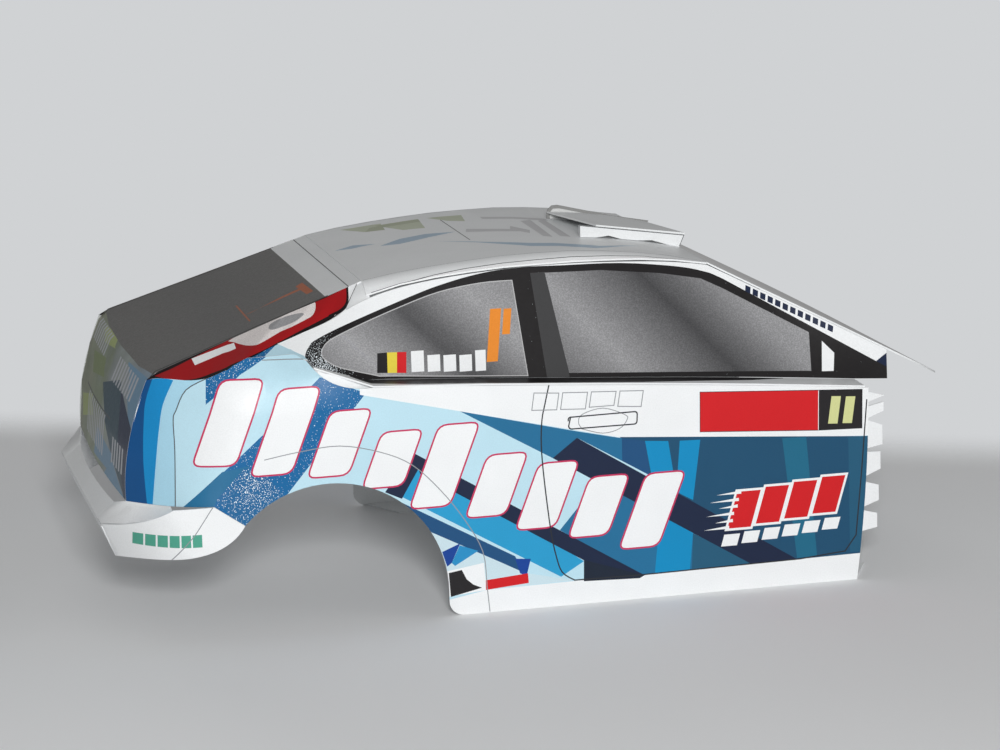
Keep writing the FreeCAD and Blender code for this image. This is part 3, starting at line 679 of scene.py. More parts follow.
lampFoot = [(-3.4, 43.4), (-16.6, 40.5), (-17.2, 34.3), (-12.0, 38.4), (-5.2, 42.0)]  # blue below the lamp
sideSheet = {
    "base": "sky",
    "shapes": [
        # Behind the wheel arch
        # deepBlue and sparkleBlue carry specks of painted highlight, each round one spot
        ("deepBlue", [(-0.4, 37.5), (6.1, 34.8), (-6.5, 20.2), (-13.4, 15.7), (-25.9, 15.5)]),
        ("steel", [(-15.6, 24.6), (-11.5, 25.3), (-16.7, 20.3), (-18.5, 16.0), (-25.9, 15.5)]),
        ("sparkleBlue", [(-12.3, 25.0), (-9.8, 24.5), (-6.5, 20.2), (-13.0, 15.8), (-16.6, 20.6)]),
        ("deepBlue", lampFoot),
        # White band along the belt line and white sill
        ("whitePaper", [(5.3, 37.9), (84.5, 32.0), (84.5, 22.3), (47.5, 24.4), (5.2, 34.6)]),
        ("whitePaper", [(17.6, 2.5), (23.3, 3.5), (85.4, 4.3), (85.6, -1.5), (22.2, -1.4), (15.6, 0)]),
        # Door field
        ("doorBlue", [(44.4, 25.2), (84.5, 22.2), (84.3, 4.1), (47.1, 3.7), (56.6, 9.1)]),
        ("steel", [(20.1, 31.0), (37.8, 26.6), (37.8, 25.6), (34.0, 22.8)]),
        ("steel", [(37.8, 26.6), (44.7, 25.0), (44.7, 21.5), (37.8, 25.6)]),
        ("steelDark", [(44.7, 25.0), (48.3, 24.3), (49.0, 18.9), (44.7, 21.5)]),
        ("brightBlade", [(48.3, 24.3), (51.9, 24.0), (53.0, 16.4), (49.3, 18.2)]),
        ("brightBlade", [(53.7, 23.9), (56.9, 23.8), (55.6, 14.6), (53.0, 16.1)]),
        ("teal", [(69.8, 23.0), (73.6, 22.9), (75.1, 4.2), (71.9, 4.2)]),
        ("doorBlueLow", [(80.3, 22.4), (84.5, 22.3), (84.0, 4.2), (80.4, 4.4)]),
        ("steel", [(41.2, 18.9), (49.1, 13.3), (64.4, 4.0), (47.1, 3.7), (34.8, 11.7)]),
        ("brightBlade", [(50.4, 12.7), (55.5, 9.5), (54.9, 3.9), (49.4, 3.8)]),
        ("doorBlueLow", [(55.5, 9.5), (64.4, 4.0), (55.2, 3.9)]),
        ("navy", [(37.8, 25.6), (71.9, 4.0), (64.4, 4.0), (34.0, 22.8)]),
        # Blades in front of the arch
        ("midBlue", [(12.6, 25.0), (38.4, 6.6), (34.8, 4.5), (10.9, 18.8)]),
        ("navy", [(12.7, 25.4), (14.4, 24.2), (10.9, 18.5), (8.4, 19.7)]),
        ("navy", [(12.7, 25.4), (47.8, 3.6), (38.6, 6.6), (13.8, 22.0)]),
        ("inkDark", [(38.4, 6.8), (47.8, 3.6), (47.0, 3.2), (38.3, 3.5)]),
        ("steelDark", [(10.9, 17.9), (27.8, 8.3), (29.2, 5.6), (25.5, 7.6), (14.7, 13.3)]),
        ("paleSky", [(14.7, 13.3), (29.2, 5.6), (36.9, 3.8), (23.3, 3.5), (16.9, 4.1)]),
        ("ultramarine", [(16.7, 9.9), (19.5, 11.0), (18.1, 8.1), (17.4, 7.6)]),
        ("cornflower", [(19.4, 10.7), (22.2, 9.6), (18.6, 7.6), (18.1, 8.1)]),
        ("ultramarine", [(27.8, 7.9), (30.2, 7.7), (29.5, 5.1), (28.5, 5.6)]),
        ("whitePaper", [(15.3, 6.6), (23.0, 7.7), (23.3, 3.5), (15.5, 2.8)]),
        ("black", [(17.6, 6.6), (19.6, 6.9), (20.3, 5.4), (21.3, 4.5), (22.6, 3.9), (17.8, 2.9)]),
        # Number plate patch
        ("red", [(57.0, 31.1), (75.6, 30.0), (75.5, 23.8), (56.9, 25.0)]),
        ("black", [(75.7, 30.0), (82.6, 29.6), (82.5, 23.6), (75.6, 23.8)]),
        ("limeYellow", [(77.7, 28.9), (79.2, 28.8), (78.6, 24.6), (77.1, 24.7)]),
        ("limeYellow", [(80.0, 28.7), (81.5, 28.6), (80.9, 24.5), (79.4, 24.6)]),
        ("red", [(23.2, 5.0), (29.7, 5.5), (29.8, 4.0), (23.2, 3.5)]),
    ],
    # Rear corner: each ink reaches back from the curve through its points
    "corner": [
        ("paleSteel", [(-16.5, 38.1), (-19.7, 36.3), (-21.3, 33.4), (-21.8, 32.0), (-21.9, 27.7), (-22.4, 19.3)]),
        ("bright", [(-21.3, 37.6), (-23.0, 34.1), (-23.8, 30.5), (-24.5, 26.1), (-25.4, 19.3)]),
        ("cornerNavy", [(-23.9, 38.1), (-25.2, 34.6), (-25.7, 31.7), (-26.2, 25.9), (-26.1, 19.3)]),
        ("tornEdge", [(-24.9, 37.9), (-27.0, 34.5), (-28.1, 30.1), (-28.7, 24.2), (-29.0, 19.3)]),
    ],
    "cornerBack": [(-30, 19.3), (-30, 40)],
    "cornerLine": 0.14,
    # Row of white leaning blades with a thin red edge, as centre and height
    "blades": [(-14.2, 31.6, 12.6), (-6.0, 29.9, 12.8), (1.9, 27.6, 10.0), (9.7, 24.6, 8.6), (17.5, 23.0, 12.6),
               (25.3, 19.4, 9.6), (33.0, 17.2, 10.2), (40.9, 14.9, 9.4), (49.2, 13.6, 11.6)],
    "bladeWidth": 6.5,
    "bladeLean": 0.40,
    "bladeCorner": 1.5,
    "bladeEdge": 0.26,
    # Red leaning bars with a white rim, white streaks behind them and a row of blocks below
    "bars": [(63.6, 12.5), (68.1, 12.9), (72.6, 13.3), (77.1, 13.7)],
    "barSize": (3.7, 5.6, 0.36),  # width, height and rim
    "barLean": 0.3,
    "streaks": [(59.3, 15.0, 3.9), (58.2, 13.9, 4.6), (59.6, 12.9, 3.0), (57.6, 11.8, 4.4), (59.0, 10.7, 2.8),
                (57.2, 9.7, 4.0)],
    "streakEnd": (0.45, -0.05),
    "blocks": [(61.4, 7.9), (64.6, 8.15), (67.8, 8.4), (71.0, 8.65), (74.2, 8.9), (77.4, 9.15)],
    "blockSize": (2.5, 1.8, 0.3),
    "lines": [
        ("inkLine", 0.20, curved([(33.7, 33.9), (33.0, 31.0), (32.5, 28.7), (32.3, 24.9), (32.6, 19.6), (33.4, 11.8),
                                  (34.1, 7.9), (35.0, 5.2), (36.9, 3.8)])
         + [(47.1, 3.7), (72.4, 4.0), (79.6, 4.6), (81.4, 7.0), (82.4, 17.1), (83.3, 27.9)]),
        ("paleLine", 0.14, curved([(-9.3, 26.0), (-4.0, 26.8), (1.9, 27.2), (7.9, 25.8), (12.6, 23.5), (16.7, 19.4),
                                   (20.3, 14.5), (22.9, 9.4), (23.4, 3.8), (23.7, 0.2)])),
        ("paleLine", 0.12, curved([(38.6, 26.9), (38.1, 27.9), (38.7, 29.1), (41.9, 29.8), (45.2, 28.6), (45.6, 27.8),
                                   (44.4, 26.5), (41.8, 26.0), (38.6, 26.9)])),
        ("inkLine", 0.20, softened([(36.5, 28.8), (47.2, 28.9), (47.1, 27.0), (36.6, 27.0)], 0.5) + [(36.9, 28.8)]),
        ("paleLine", 0.14, [(-8.5, 40.2), (-2.2, 39.9)]),
    ],
    # Small drawn boxes on the white band and the number plate's outline
    "boxes": [
        ("paleLine", 0.14, [(31.4, 32.9), (35.2, 32.6), (34.8, 30.1), (31.0, 30.3)]),
        ("paleLine", 0.14, [(35.8, 32.6), (39.6, 32.4), (39.2, 29.9), (35.4, 30.1)]),
        ("paleLine", 0.14, [(40.2, 32.4), (44.0, 32.2), (43.6, 30.1), (39.8, 30.1)]),
        ("paleLine", 0.14, [(44.6, 32.2), (48.2, 32.0), (47.8, 29.6), (44.2, 29.9)]),
        ("inkLine", 0.10, [(57.0, 31.1), (75.6, 30.0), (82.6, 29.6), (82.5, 23.6), (75.5, 23.8), (56.9, 25.0)]),
    ],
}


def printSide(settings):
    piece = copySheet("side_panel_right", "rightSideSheet", "printed_side_paper", settings["base"],
                      lambda normal: normal.y < -0.4)
    startPrint(piece)
    printShapes(piece, settings["shapes"])
    for ink, edge in settings["corner"]:
        printShape(piece, ink, curved(edge) + settings["cornerBack"])
    for x, z, height in settings["blades"]:
        blade = slanted(x, z, settings["bladeWidth"], height, settings["bladeLean"])
        blade = softened(blade, settings["bladeCorner"])
        printShape(piece, "outlineRed", blade)
        printShape(piece, "whitePaper", shrunk(blade, settings["bladeEdge"]))
    width, height, rim = settings["barSize"]
    for x, z in settings["bars"]:
        printShape(piece, "whitePaper", slanted(x, z, width + 2 * rim, height + 2 * rim, settings["barLean"]))
        printShape(piece, "red", slanted(x, z, width, height, settings["barLean"]))
    high, low = settings["streakEnd"]
    for x, z, length in settings["streaks"]:
        printShape(piece, "whitePaper", [(x, z), (x + length, z + high), (x + length, z + low)])
    for x, z in settings["blocks"]:
        printShape(piece, "whitePaper", slanted(x, z, *settings["blockSize"]))
    printLines(piece, settings["lines"])
    printLines(piece, settings["boxes"], closed=True)
    printLine(piece, "line", curved(settings["corner"][0][1]), settings["cornerLine"])
    endPrint(piece)
    return piece


rightSide = printSide(sideSheet)
mirrorSheet(rightSide, "side_panel_left", "leftSideSheet")
print("side sheets printed", len(rightSide.data.polygons))

# Window sheet

windowSheet = {
    "base": "whitePaper",
    "shapes": [
        # frameBlack carries specks of painted highlight near the window's rear end
        ("frameBlack", curved([(4.9, 36.4), (2.0, 37.4), (-0.4, 38.3), (-1.5, 39.2), (-1.9, 39.9), (-0.9, 41.2),
                               (1.3, 42.3), (13.6, 46.4), (19.9, 48.3), (26.2, 49.6), (32.3, 50.1), (38.5, 50.0),
                               (47.9, 49.7), (57.3, 48.5), (61.9, 47.3)])
         + [(63.7, 46.4), (86.7, 32.7), (89.9, 31.0), (89.9, 29.0), (83.3, 29.0), (36.3, 32.6), (12.1, 33.9),
            (6.2, 35.2)]),
        ("glassLine", curved([(9.1, 36.2), (3.2, 38.0), (1.0, 39.3), (0.7, 40.25), (1.8, 41.5), (4.8, 42.7),
                              (13.4, 45.6), (19.6, 47.4), (25.9, 48.3), (30.9, 48.4)]) + [(31.6, 34.7)]),
        ("quarterGlass", curved([(9.15, 36.32), (3.25, 38.12), (1.12, 39.38), (0.82, 40.25), (1.86, 41.38),
                                 (4.86, 42.58), (13.45, 45.48), (19.65, 47.28), (25.95, 48.18), (30.78, 48.28)])
         + [(31.48, 34.82)]),
        ("pillarGrey", [(33.6, 49.2), (36.1, 49.2), (38.0, 33.5), (34.3, 33.8)]),
        ("doorGlass", [(36.0, 49.1), (44.7, 48.9), (54.0, 47.8), (60.3, 46.6), (63.5, 45.0), (76.4, 37.7),
                       (76.2, 32.0), (37.9, 34.7)]),
        ("whitePaper", [(78.3, 36.3), (80.1, 34.4), (79.8, 31.7), (77.9, 31.8)]),
        ("navy", [(86.7, 32.7), (88.6, 34.0), (88.6, 31.6)]),
        # Patch of three upright bands, plain white blocks beside it and leaning orange bars
        ("black", [(9.2, 39.4), (10.7, 39.4), (10.4, 36.6), (8.8, 36.7)]),
        ("yellow", [(10.7, 39.4), (12.2, 39.35), (11.8, 36.5), (10.4, 36.6)]),
        ("red", [(12.2, 39.35), (13.6, 39.3), (13.2, 36.4), (11.8, 36.5)]),
        ("whitePaper", slanted(15.1, 37.9, 1.9, 2.9, 0.1)),
        ("whitePaper", slanted(17.5, 37.5, 1.9, 2.3, 0.1)),
        ("whitePaper", slanted(19.9, 37.35, 1.9, 2.3, 0.1)),
        ("whitePaper", slanted(22.3, 37.2, 1.9, 2.3, 0.1)),
        ("whitePaper", slanted(24.6, 37.4, 1.6, 2.9, 0.1)),
        ("orange", slanted(27.1, 40.8, 1.7, 7.4, 0.2)),
        ("orange", slanted(29.3, 42.6, 1.2, 3.6, 0.2)),
    ],
    "pillarEdge": [(33.6, 49.2), (34.3, 33.8)],
    "pillarLine": 0.3,
    # Small slanted marks along the windscreen pillar, each with its corners about its middle
    "marks": 12,
    "mark": [(-0.3, 0.62), (0.48, 0.22), (0.3, -0.68), (-0.48, -0.28)],
    "markFrom": (67.6, 44.55),
    "markTo": (79.8, 38.15),
}


def printWindow(settings):
    piece = copySheet("window_panel_right", "rightWindowSheet", "printed_window_paper", settings["base"],
                      lambda normal: normal.y < -0.4)
    startPrint(piece)
    printShapes(piece, settings["shapes"])
    printLine(piece, "frameBlack", settings["pillarEdge"], settings["pillarLine"])
    first, last = settings["markFrom"], settings["markTo"]
    for i in range(settings["marks"]):
        share = i / (settings["marks"] - 1)
        x, z = first[0] + (last[0] - first[0]) * share, first[1] + (last[1] - first[1]) * share
        printShape(piece, "navy", [(x + dx, z + dz) for dx, dz in settings["mark"]])
    endPrint(piece)
    return piece


rightWindow = printWindow(windowSheet)
mirrorSheet(rightWindow, "window_panel_left", "leftWindowSheet")
print("window sheets printed", len(rightWindow.data.polygons))

# Tail lamp flap

lampFlap = {
    "base": "lampRed",
    "shapes": [
        ("whitePaper", curved([(3.2, 44.7), (5.0, 45.5), (5.8, 46.3), (6.2, 47.2), (6.5, 48.8)])
         + [(12, 50), (12, 40)]),
        ("whitePaper", [(-18.0, 40.0), (-11.6, 41.9), (-11.6, 41.35), (-17.8, 39.3)]),
        ("lens", [(-12.3, 42.0), (-8.7, 43.6), (-4.6, 45.1), (1.0, 47.2)]
         + curved([(1.35, 46.4), (1.1, 45.7), (0.5, 45.0), (-0.6, 44.5), (-3.7, 43.5), (-6.5, 42.6), (-7.8, 42.2),
                   (-9.0, 41.9), (-10.0, 41.8), (-10.8, 41.8), (-11.5, 41.95)])),
        ("lensGrey", curved([(-6.3, 43.6), (-5.9, 44.0), (-4.7, 44.5), (-2.9, 45.0), (-1.2, 45.3), (-0.7, 45.2),
                             (-1.3, 44.8), (-2.7, 44.2), (-4.4, 43.7), (-5.8, 43.5), (-6.3, 43.6)])),
    ],
    # The lamp's lower edge: dark below it as far as darkTo, and drawn as a line from lineFrom
    "edge": curved([(-24.2, 37.9), (-22.4, 37.75), (-20.6, 37.6), (-18.8, 37.75), (-16.7, 38.25), (-14.5, 39.05),
                    (-11.7, 40.2), (-8.7, 41.0), (-5.5, 41.9), (-2.5, 42.9), (0.6, 43.95), (3.7, 45.0),
                    (5.0, 45.6), (5.8, 46.3), (6.2, 47.2), (6.5, 48.8)]),
    "edgeLift": 0.06,
    "darkTo": 3.8,
    "darkFoot": [(3.7, 30.0), (-24.2, 30.0)],
    "lineFrom": 3.0,
    "lineWidth": 0.3,
    "fold": [(-23.8, 38.1), (-12.3, 42.3), (-4.6, 44.9), (3.0, 47.3), (6.5, 48.6)],
    "foldWidth": 0.4,
    "tip": [(-30.0, 30.0), (-23.7, 30.0), (-23.7, 45.0), (-30.0, 45.0)],
    "smoothAngle": 60,
}


def printLamp(settings):
    piece = copySheet("tail_lamp_flap_right", "rightLampFlap", "printed_lamp_paper", settings["base"],
                      lambda normal: normal.z > 0.12 or normal.x < -0.2 or normal.y > 0.5, "lampDark")
    startPrint(piece)
    printShapes(piece, settings["shapes"])
    below = [(x, z + settings["edgeLift"]) for x, z in settings["edge"] if x < settings["darkTo"]]
    printShape(piece, "lampDark", below + settings["darkFoot"])
    ahead = [point for point in settings["edge"] if point[0] > settings["lineFrom"]]
    printLine(piece, "lampDark", ahead, settings["lineWidth"])
    printLine(piece, "lampDark", settings["fold"], settings["foldWidth"])
    printShape(piece, "lampDark", settings["tip"])
    endPrint(piece)
    bpy.ops.object.shade_smooth_by_angle(angle=radians(settings["smoothAngle"]), keep_sharp_edges=False)
    return piece


rightLamp = printLamp(lampFlap)
mirrorSheet(rightLamp, "tail_lamp_flap_left", "leftLampFlap")

# Scraps of printed paper that close the gaps beside the lamp flap and below the window's rear tip

scrapThickness = 0.2
scraps = {
    "LampFootScrap": {
        "corners": [(-10.8, -32.4, 40.4), (-9.4, -31.5, 40.8), (-6.9, -30.7, 41.6), (-5.0, -29.8, 41.9),
                    (-4.2, -30.8, 41.2), (-2.3, -31.9, 40.1), (-1.2, -32.8, 39.3), (-2.9, -33.6, 39.7),
                    (-5.8, -33.5, 40.0), (-8.8, -33.6, 40.1), (-10.6, -33.6, 39.9)],
        "base": "sky",
        "shapes": [
            ("deepBlue", lampFoot),
            ("whitePaper", [(-5.2, 42.6), (1.0, 38.3), (4.0, 40.0), (4.0, 45.0)]),
        ],
    },
    "LampFrontScrap": {
        "corners": [(5.0, -26.65, 44.95), (5.6, -25.25, 46.25), (6.3, -23.4, 47.6), (7.8, -22.9, 48.5),
                    (9.2, -23.4, 48.7), (9.3, -25.0, 48.4), (9.3, -26.3, 47.4), (9.3, -26.9, 46.6),
                    (7.7, -27.1, 46.0), (6.4, -27.1, 45.5)],
        "base": "whitePaper",
    },
    "ShoulderScrap": {
        "corners": [(-2.4, -34.5, 39.4), (-0.5, -36.15, 37.0), (1.1, -36.6, 36.0), (3.2, -36.95, 35.1),
                    (5.2, -37.1, 34.9), (7.6, -37.15, 35.0), (7.6, -36.7, 35.5), (6.5, -36.0, 35.8),
                    (4.5, -36.1, 36.5), (3.1, -36.2, 37.0), (1.7, -36.1, 37.5), (0.4, -35.9, 37.9),
                    (-0.6, -35.6, 38.3), (-1.1, -35.0, 38.5), (-2.4, -34.0, 39.3)],
        "base": "whitePaper",
    },
}


def makeScrap(name, settings):
    deselectAll()
    bpy.ops.mesh.primitive_circle_add(vertices=len(settings["corners"]), radius=10 * mm, fill_type="NGON")
    piece = bpy.context.object
    piece.name = name
    bpy.ops.object.mode_set(mode="EDIT")
    bpy.ops.mesh.select_mode(type="VERT")
    for i, (x, y, z) in enumerate(settings["corners"]):
        bpy.ops.mesh.select_all(action="DESELECT")
        mesh = bmesh.from_edit_mesh(piece.data)
        mesh.verts.ensure_lookup_table()
        mesh.verts[i].select_set(True)
        move = Vector(((x + axleX) * mm, y * mm, z * mm)) - mesh.verts[i].co
        bpy.ops.transform.translate(value=move)
    bpy.ops.mesh.select_all(action="SELECT")
    bpy.ops.mesh.quads_convert_to_tris()
    bpy.ops.mesh.solidify(thickness=scrapThickness * mm)
    bpy.ops.mesh.normals_make_consistent(inside=False)
    bpy.ops.object.mode_set(mode="OBJECT")
    piece.data.materials.append(inkOf("whitePaper"))
    piece.data.materials.append(inkOf(settings["base"]))
    for face in piece.data.polygons:
        face.material_index = 1 if face.normal.z > 0.1 else 0
    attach(piece, "root")
    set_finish(piece, "printed_side_paper")
    startPrint(piece)
    printShapes(piece, settings.get("shapes", []))
    endPrint(piece)
    return piece


for name, settings in scraps.items():
    scrap = makeScrap("right" + name, settings)
    mirrorSheet(scrap, None, "left" + name)
print("lamp flaps printed", len(rightLamp.data.polygons))

# Roof

roofSheet = {
    "base": "whitePaper",
    "shapes": [
        ("roofOlive", [(14.0, 21.0), (20.6, 20.2), (20.0, 13.8), (17.0, 15.0)]),
        ("roofOliveDark", [(18.3, 18.0), (20.4, 18.0), (20.0, 13.8), (17.0, 15.0)]),
        ("roofOlive", [(19.4, 19.0), (26.6, 19.2), (25.8, 10.0), (22.4, 11.1)]),
        ("roofOliveDark", [(19.4, 19.0), (26.6, 19.2), (26.4, 16.4), (20.0, 16.4)]),
        ("roofOlive", [(28.0, 19.0), (33.6, 18.4), (32.8, 12.0), (30.3, 13.9)]),
        ("roofBlue", [(10.0, 4.4), (13.0, 5.5), (16.2, 3.0), (12.5, 3.0)]),
        ("roofBlue", [(16.5, 0.5), (20.3, 3.6), (24.6, 4.4), (29.1, 2.7), (23.8, 0.8), (19.4, -0.8)]),
        ("roofBlue", [(24.5, -3.1), (30.4, -9.1), (37.1, -14.2), (46.9, -19.0), (54.0, -16.6), (45.8, -21.5),
                      (36.4, -17.0)]),
        ("roofGrey", [(31.2, 4.2), (37.5, 0.5), (38.2, 3.5), (40.1, -1.9), (39.4, -4.8), (38.4, -2.4), (30.5, 1.4)]),
        ("roofGrey", [(35.9, 14.9), (45.6, 10.3), (45.6, 8.1), (35.8, 12.7)]),
        ("roofGrey", [(41.0, 8.1), (42.9, 9.2), (41.9, -9.5), (40.6, -8.4)]),
        ("roofGrey", [(43.9, 8.1), (45.2, 9.2), (44.8, -9.6), (43.3, -8.5)]),
    ],
    "seam": [(29.5, 15.5), (29.4, -6.2)],
    # On the right side: the white rail's inner edge, its outer corners and the fold line beside it. The rail is inked
    # whiter than the paper as painted light, and the dark line along its inner edge is a drawn seam that also stands
    # for a painted shadow at the roof's fold
    "rail": [(9.6, -26.7), (15.5, -26.7), (18.4, -26.5), (23.3, -26.2), (35.7, -26.1), (52.0, -25.9), (57.4, -26.6)],
    "railOuter": [(58.5, -32.0), (8.5, -32.0)],
    "fold": [(8.9, -23.4), (14.7, -23.4), (30.4, -23.4), (45.6, -23.9), (53.3, -24.3), (61.5, -25.6)],
    "lineWidth": 0.15,
}


def printRoof(settings):
    piece = copySheet("roof_panel", "roofSheet", "printed_roof_paper", settings["base"],
                      lambda normal: normal.z > 0.3)
    startPrint(piece)
    printShapes(piece, settings["shapes"], topView)
    # Painted light: the rail is inked whiter than the paper; its dark inner edge line is also painted shadow
    for outline in bothSides(settings["rail"] + settings["railOuter"]):
        printShape(piece, "railLitWhite", outline, topView)
    printLine(piece, "line", settings["seam"], settings["lineWidth"], topView)
    for ink, line in (("line", settings["rail"]), ("paleLine", settings["fold"])):
        for points in bothSides(line):
            printLine(piece, ink, points, settings["lineWidth"], topView)
    endPrint(piece)
    return piece


roof = printRoof(roofSheet)
print("roof printed", len(roof.data.polygons))

# Tailgate: rear window above the bend, painted tail below it

tailSheet = {
    "base": "tailSceneryAndShade",
    "bend": 37.6,  # height of the bend
    "hatch": [
        ("whitePaper", [(3.0, 30.0), (3.0, -30.0), (14.0, -30.0), (14.0, 30.0)]),
        ("hatchGlass", [(3.0, 30.0), (3.0, -30.0), (-23.6, -30.0), (-24.6, -18.0), (-24.9, 0.0), (-24.6, 18.0),
                       (-23.6, 30.0)]),
        ("faintOrange", [(-7.8, -15.2), (-6.9, -15.4), (-1.6, -12.9), (1.6, -12.2), (1.6, -13.5), (-1.6, -14.0)]),
        ("faintOrange", [(1.0, -10.0), (2.2, -9.2), (2.4, -17.6), (1.3, -18.0)]),
    ],
    "hatchLines": [
        ("faintOrange", 0.22, [(-7.8, -7.0), (-7.9, -20.4)]),
        ("line", 0.15, [(6.75, 24.2), (6.65, -24.0)]),
    ],
    # Black rim of the rear window, on the right side
    "rim": [(-24.0, -27.6), (-16.5, -26.75), (-7.2, -25.15), (-1.0, -24.75), (3.2, -24.15)],
    "rimWidth": 0.45,
    # Printed scenery, its inks darkened as painted shade like the tail's base
    "tail": [
        ("olive", [(19.3, 37.2), (6.8, 38.0), (2.5, 36.6), (13.4, 35.7)]),
        ("olive", [(25.2, 25.5), (10.9, 28.1), (7.7, 25.3), (23.7, 22.1)]),
        ("oliveDark", [(20.2, 33.3), (6.8, 34.4), (3.4, 32.0), (16.5, 30.5)]),
        ("slate", [(-11.3, 37.0), (-29.5, 37.4), (-29.5, 27.3), (-17.0, 35.3)]),
        ("tailTeal", [(3.3, 31.3), (-11.3, 34.3), (-29.5, 26.3), (-28.0, 19.5), (-15.5, 23.2)]),
        ("tailNavy", [(-14.1, 33.5), (-29.5, 29.6), (-29.5, 20.6), (-26.8, 18.8)]),
        ("slate", [(2.0, 24.8), (-15.3, 23.7), (-12.1, 20.7), (4.2, 20.1)]),
        ("slate", [(-7.1, 19.0), (-15.5, 22.9), (-26.8, 19.5), (-26.8, 19.0)]),
    ],
    # Rows of pale leaning bars across the tail, as centre, lower edge, height and number of bars
    "bars": [(17.5, 34.2, 3.2, 8), (-13.5, 33.0, 3.6, 9), (4.5, 21.5, 6.4, 10), (-20.0, 22.5, 4.0, 5)],
    "barStep": 2.2,
    "barWidth": 1.1,
    "barLean": 0.6,
    "lines": [
        ("line", 0.22, [(19.5, 28.3), (9.3, 28.1), (-1.4, 28.1), (-10.5, 28.2)]),
    ],
}


def printTail(settings):
    piece = copySheet("tailgate_panel", "tailgateSheet", "printed_tail_paper", settings["base"],
                      lambda normal: normal.x < -0.05 or normal.z > 0.7)
    dark = inkIndex(piece, "lampDark")
    for face in piece.data.polygons:  # the rear window's cut edges are black
        if not face.material_index and abs(face.normal.y) > 0.3 and face.center.z > settings["bend"] * mm:
            face.material_index = dark
    startPrint(piece)
    printShapes(piece, settings["tail"], rearView)
    width, lean = settings["barWidth"], settings["barLean"]
    for middle, low, height, count in settings["bars"]:
        for i in range(count):
            y, top = middle + (i - (count - 1) / 2) * settings["barStep"], low + height
            bar = [(y, low), (y + width, low), (y + width - lean, top), (y - lean, top)]
            printShape(piece, "paleBar", bar, rearView)
    printLines(piece, settings["lines"], rearView)
    printShapes(piece, settings["hatch"], topView)
    printLines(piece, settings["hatchLines"], topView)
    for points in bothSides(settings["rim"]):
        printLine(piece, "lampDark", points, settings["rimWidth"], topView)
    endPrint(piece)
    return piece


tail = printTail(tailSheet)
print("tailgate printed", len(tail.data.polygons))

# Windscreen sheet

screenSheet = {
    "base": "whitePaper",
    # Edge of the glass from the roof to the tip, on the right side
    "glass": [(64.0, -24.0), (76.0, -27.0), (88.0, -29.6), (94.6, -26.0), (99.6, -18.0), (102.0, -9.0)],
    "glassTip": [(102.8, 0.0)],
}
screen = copySheet("windscreen_panel", "windscreenSheet", "printed_glass_paper", screenSheet["base"],
                   lambda normal: normal.z > 0.3)
startPrint(screen)
rightEdge, leftEdge = bothSides(screenSheet["glass"])
# The glass is inked near white, a painted reflection over its print
printShape(screen, "screenGlassAndReflection", curved(rightEdge + screenSheet["glassTip"] + leftEdge[::-1], 2), topView)
endPrint(screen)
print("windscreen printed")

# Bumper sides, with a row of green blocks, and the ledge between them

bumperSide = {
    "blocks": 6,
    "start": -28.5,
    "step": 1.62,
    "blockSize": (1.38, 1.9),
    "low": 13.7,
    "crease": [(-17.2, 19.6), (-20.0, 15.6), (-23.6, 11.5)],
    "creaseWidth": 0.14,
}


def printBumper(settings):
    piece = copySheet("bumper_side_right", "rightBumperSide", "white_paper", "whitePaper",
                      lambda normal: normal.y < -0.3 or normal.x < -0.6)
    startPrint(piece)
    width, height = settings["blockSize"]
    for i in range(settings["blocks"]):
        x, z = settings["start"] + i * settings["step"] + width / 2, settings["low"] + height / 2
        printShape(piece, "green", slanted(x, z, width, height, 0))
    printLine(piece, "paleLine", settings["crease"], settings["creaseWidth"])
    endPrint(piece)
    return piece


rightBumper = printBumper(bumperSide)
mirrorSheet(rightBumper, "bumper_side_left", "leftBumperSide")

ledgeFolds = {"sides": (-22.1, 22.1), "low": 16.2, "high": 17.7, "width": 0.16}
ledge = copySheet("bumper_ledge", "bumperLedge", "white_paper", "whitePaper", lambda normal: normal.x < -0.3)
startPrint(ledge)
for y in ledgeFolds["sides"]:
    fold = [(y, ledgeFolds["low"]), (y, ledgeFolds["high"])]
    printLine(ledge, "paleLine", fold, ledgeFolds["width"], rearView)
endPrint(ledge)
print("bumper printed")

# Plain paper pieces keep their solids and get the paper's own look

plainPaper = ["sill_flap", "front_tab_strip", "roof_glue_strip", "belt_glue_strip"]
plainSingles = ["bumper_rear", "tailgate_seam_strip", "header_glue_strip", "scoop_top"]
for name in [f"{n}_{side}" for n in plainPaper for side in ("right", "left")] + plainSingles:
    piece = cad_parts[name]
    for slot in piece.material_slots:
        slot.material = inkOf("whitePaper")
print("plain paper pieces finished")

# Shoulder strips: the window frame's black runs over them, up to this edge seen from above

shoulder = {
    "black": [(4.4, -32.0), (4.4, -34.6), (6.0, -35.5), (7.5, -35.8), (14.0, -36.7), (31.0, -37.2), (48.0, -36.9),
              (66.0, -34.9), (71.5, -33.2), (71.5, -32.0)],
}
rightStrip = copySheet("shoulder_strip_right", "rightShoulder", "white_paper", "whitePaper",
                       lambda normal: normal.z > 0.2)
startPrint(rightStrip)
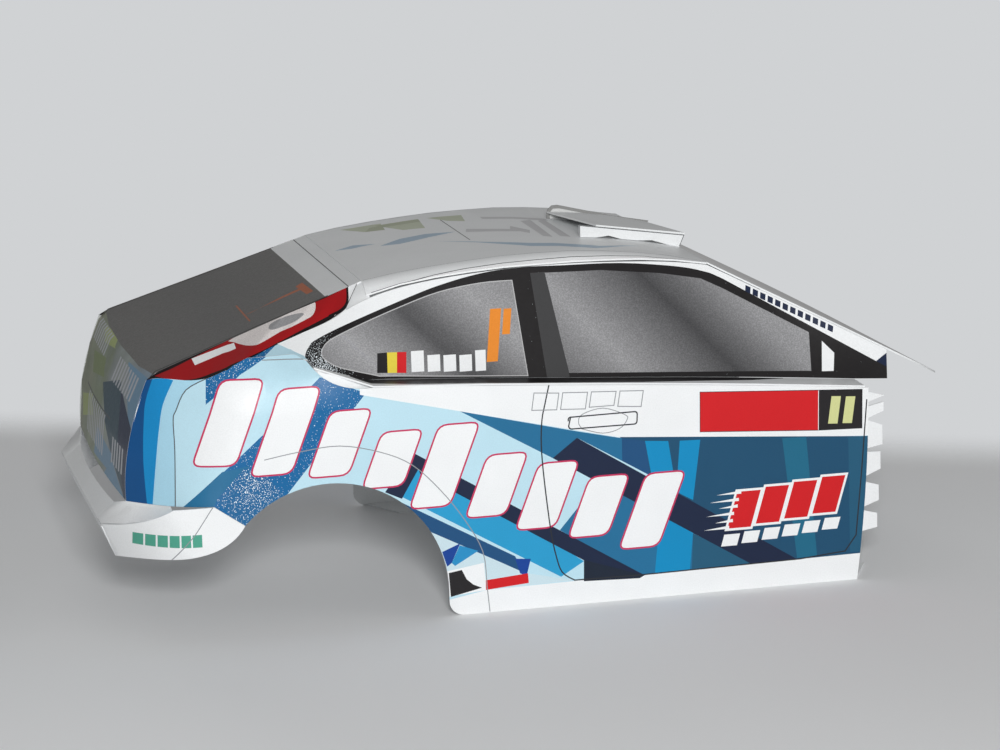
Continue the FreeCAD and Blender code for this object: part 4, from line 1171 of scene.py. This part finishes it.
# The black here carries the same specks of painted highlight
printShape(rightStrip, "frameBlack", shoulder["black"], topView)
endPrint(rightStrip)
mirrorSheet(rightStrip, "shoulder_strip_left", "leftShoulder")

# Corner flaps of the bumper, copied so that they shade as smooth paper

flapAngle = 50
for side, pieceName in (("right", "rightCornerFlap"), ("left", "leftCornerFlap")):
    copySheet("bumper_corner_flap_" + side, pieceName, "white_paper", "whitePaper", lambda normal: True)
    bpy.ops.object.shade_smooth_by_angle(angle=radians(flapAngle))
print("shoulder strips and corner flaps finished")

# Scoop walls: the left one has its rear corner rounded, its inner face inked light grey as painted shade, and its
# back, edges and curled rim inked darker as painted shade; the right one has a thin drawn edge

scoopWalls = {
    "corner": [(45.8, 51.9), (46.1, 52.75), (46.75, 53.35), (48.2, 53.45)],
    "rim": [(45.95, 51.3), (46.1, 52.6), (46.8, 53.3), (48.0, 53.3), (56.9, 51.05), (62.9, 49.9)],
    "rimWidth": 0.9,
    "drawn": [(45.98, 51.4), (45.98, 53.15), (62.8, 50.57), (62.05, 48.9)],
    "drawnWidth": 0.12,
}


def roundCorner(piece, points):
    # Called in edit mode: cuts away what lies left of the line through the points
    for a, b in zip(points, points[1:]):
        start, stop = sheetPoint(a, sideView), sheetPoint(b, sideView)
        length = dist(start, stop)
        bpy.ops.mesh.select_all(action="SELECT")
        bpy.ops.mesh.bisect(plane_co=(start[0], 0, start[1]), use_fill=True, clear_outer=True, threshold=cutGap,
                            plane_no=((start[1] - stop[1]) / length, 0, (stop[0] - start[0]) / length))


leftWall = copySheet("scoop_wall_left", "leftScoopWall", "white_paper", "scoopShade",
                     lambda normal: normal.y < -0.5, "scoopEdgeShade")
startPrint(leftWall)
roundCorner(leftWall, scoopWalls["corner"])
printLine(leftWall, "scoopRimShade", scoopWalls["rim"], scoopWalls["rimWidth"])
endPrint(leftWall)
rightWall = copySheet("scoop_wall_right", "rightScoopWall", "white_paper", "whitePaper",
                      lambda normal: normal.y < -0.5)
startPrint(rightWall)
printLine(rightWall, "line", scoopWalls["drawn"], scoopWalls["drawnWidth"])
endPrint(rightWall)
print("scoop walls printed")
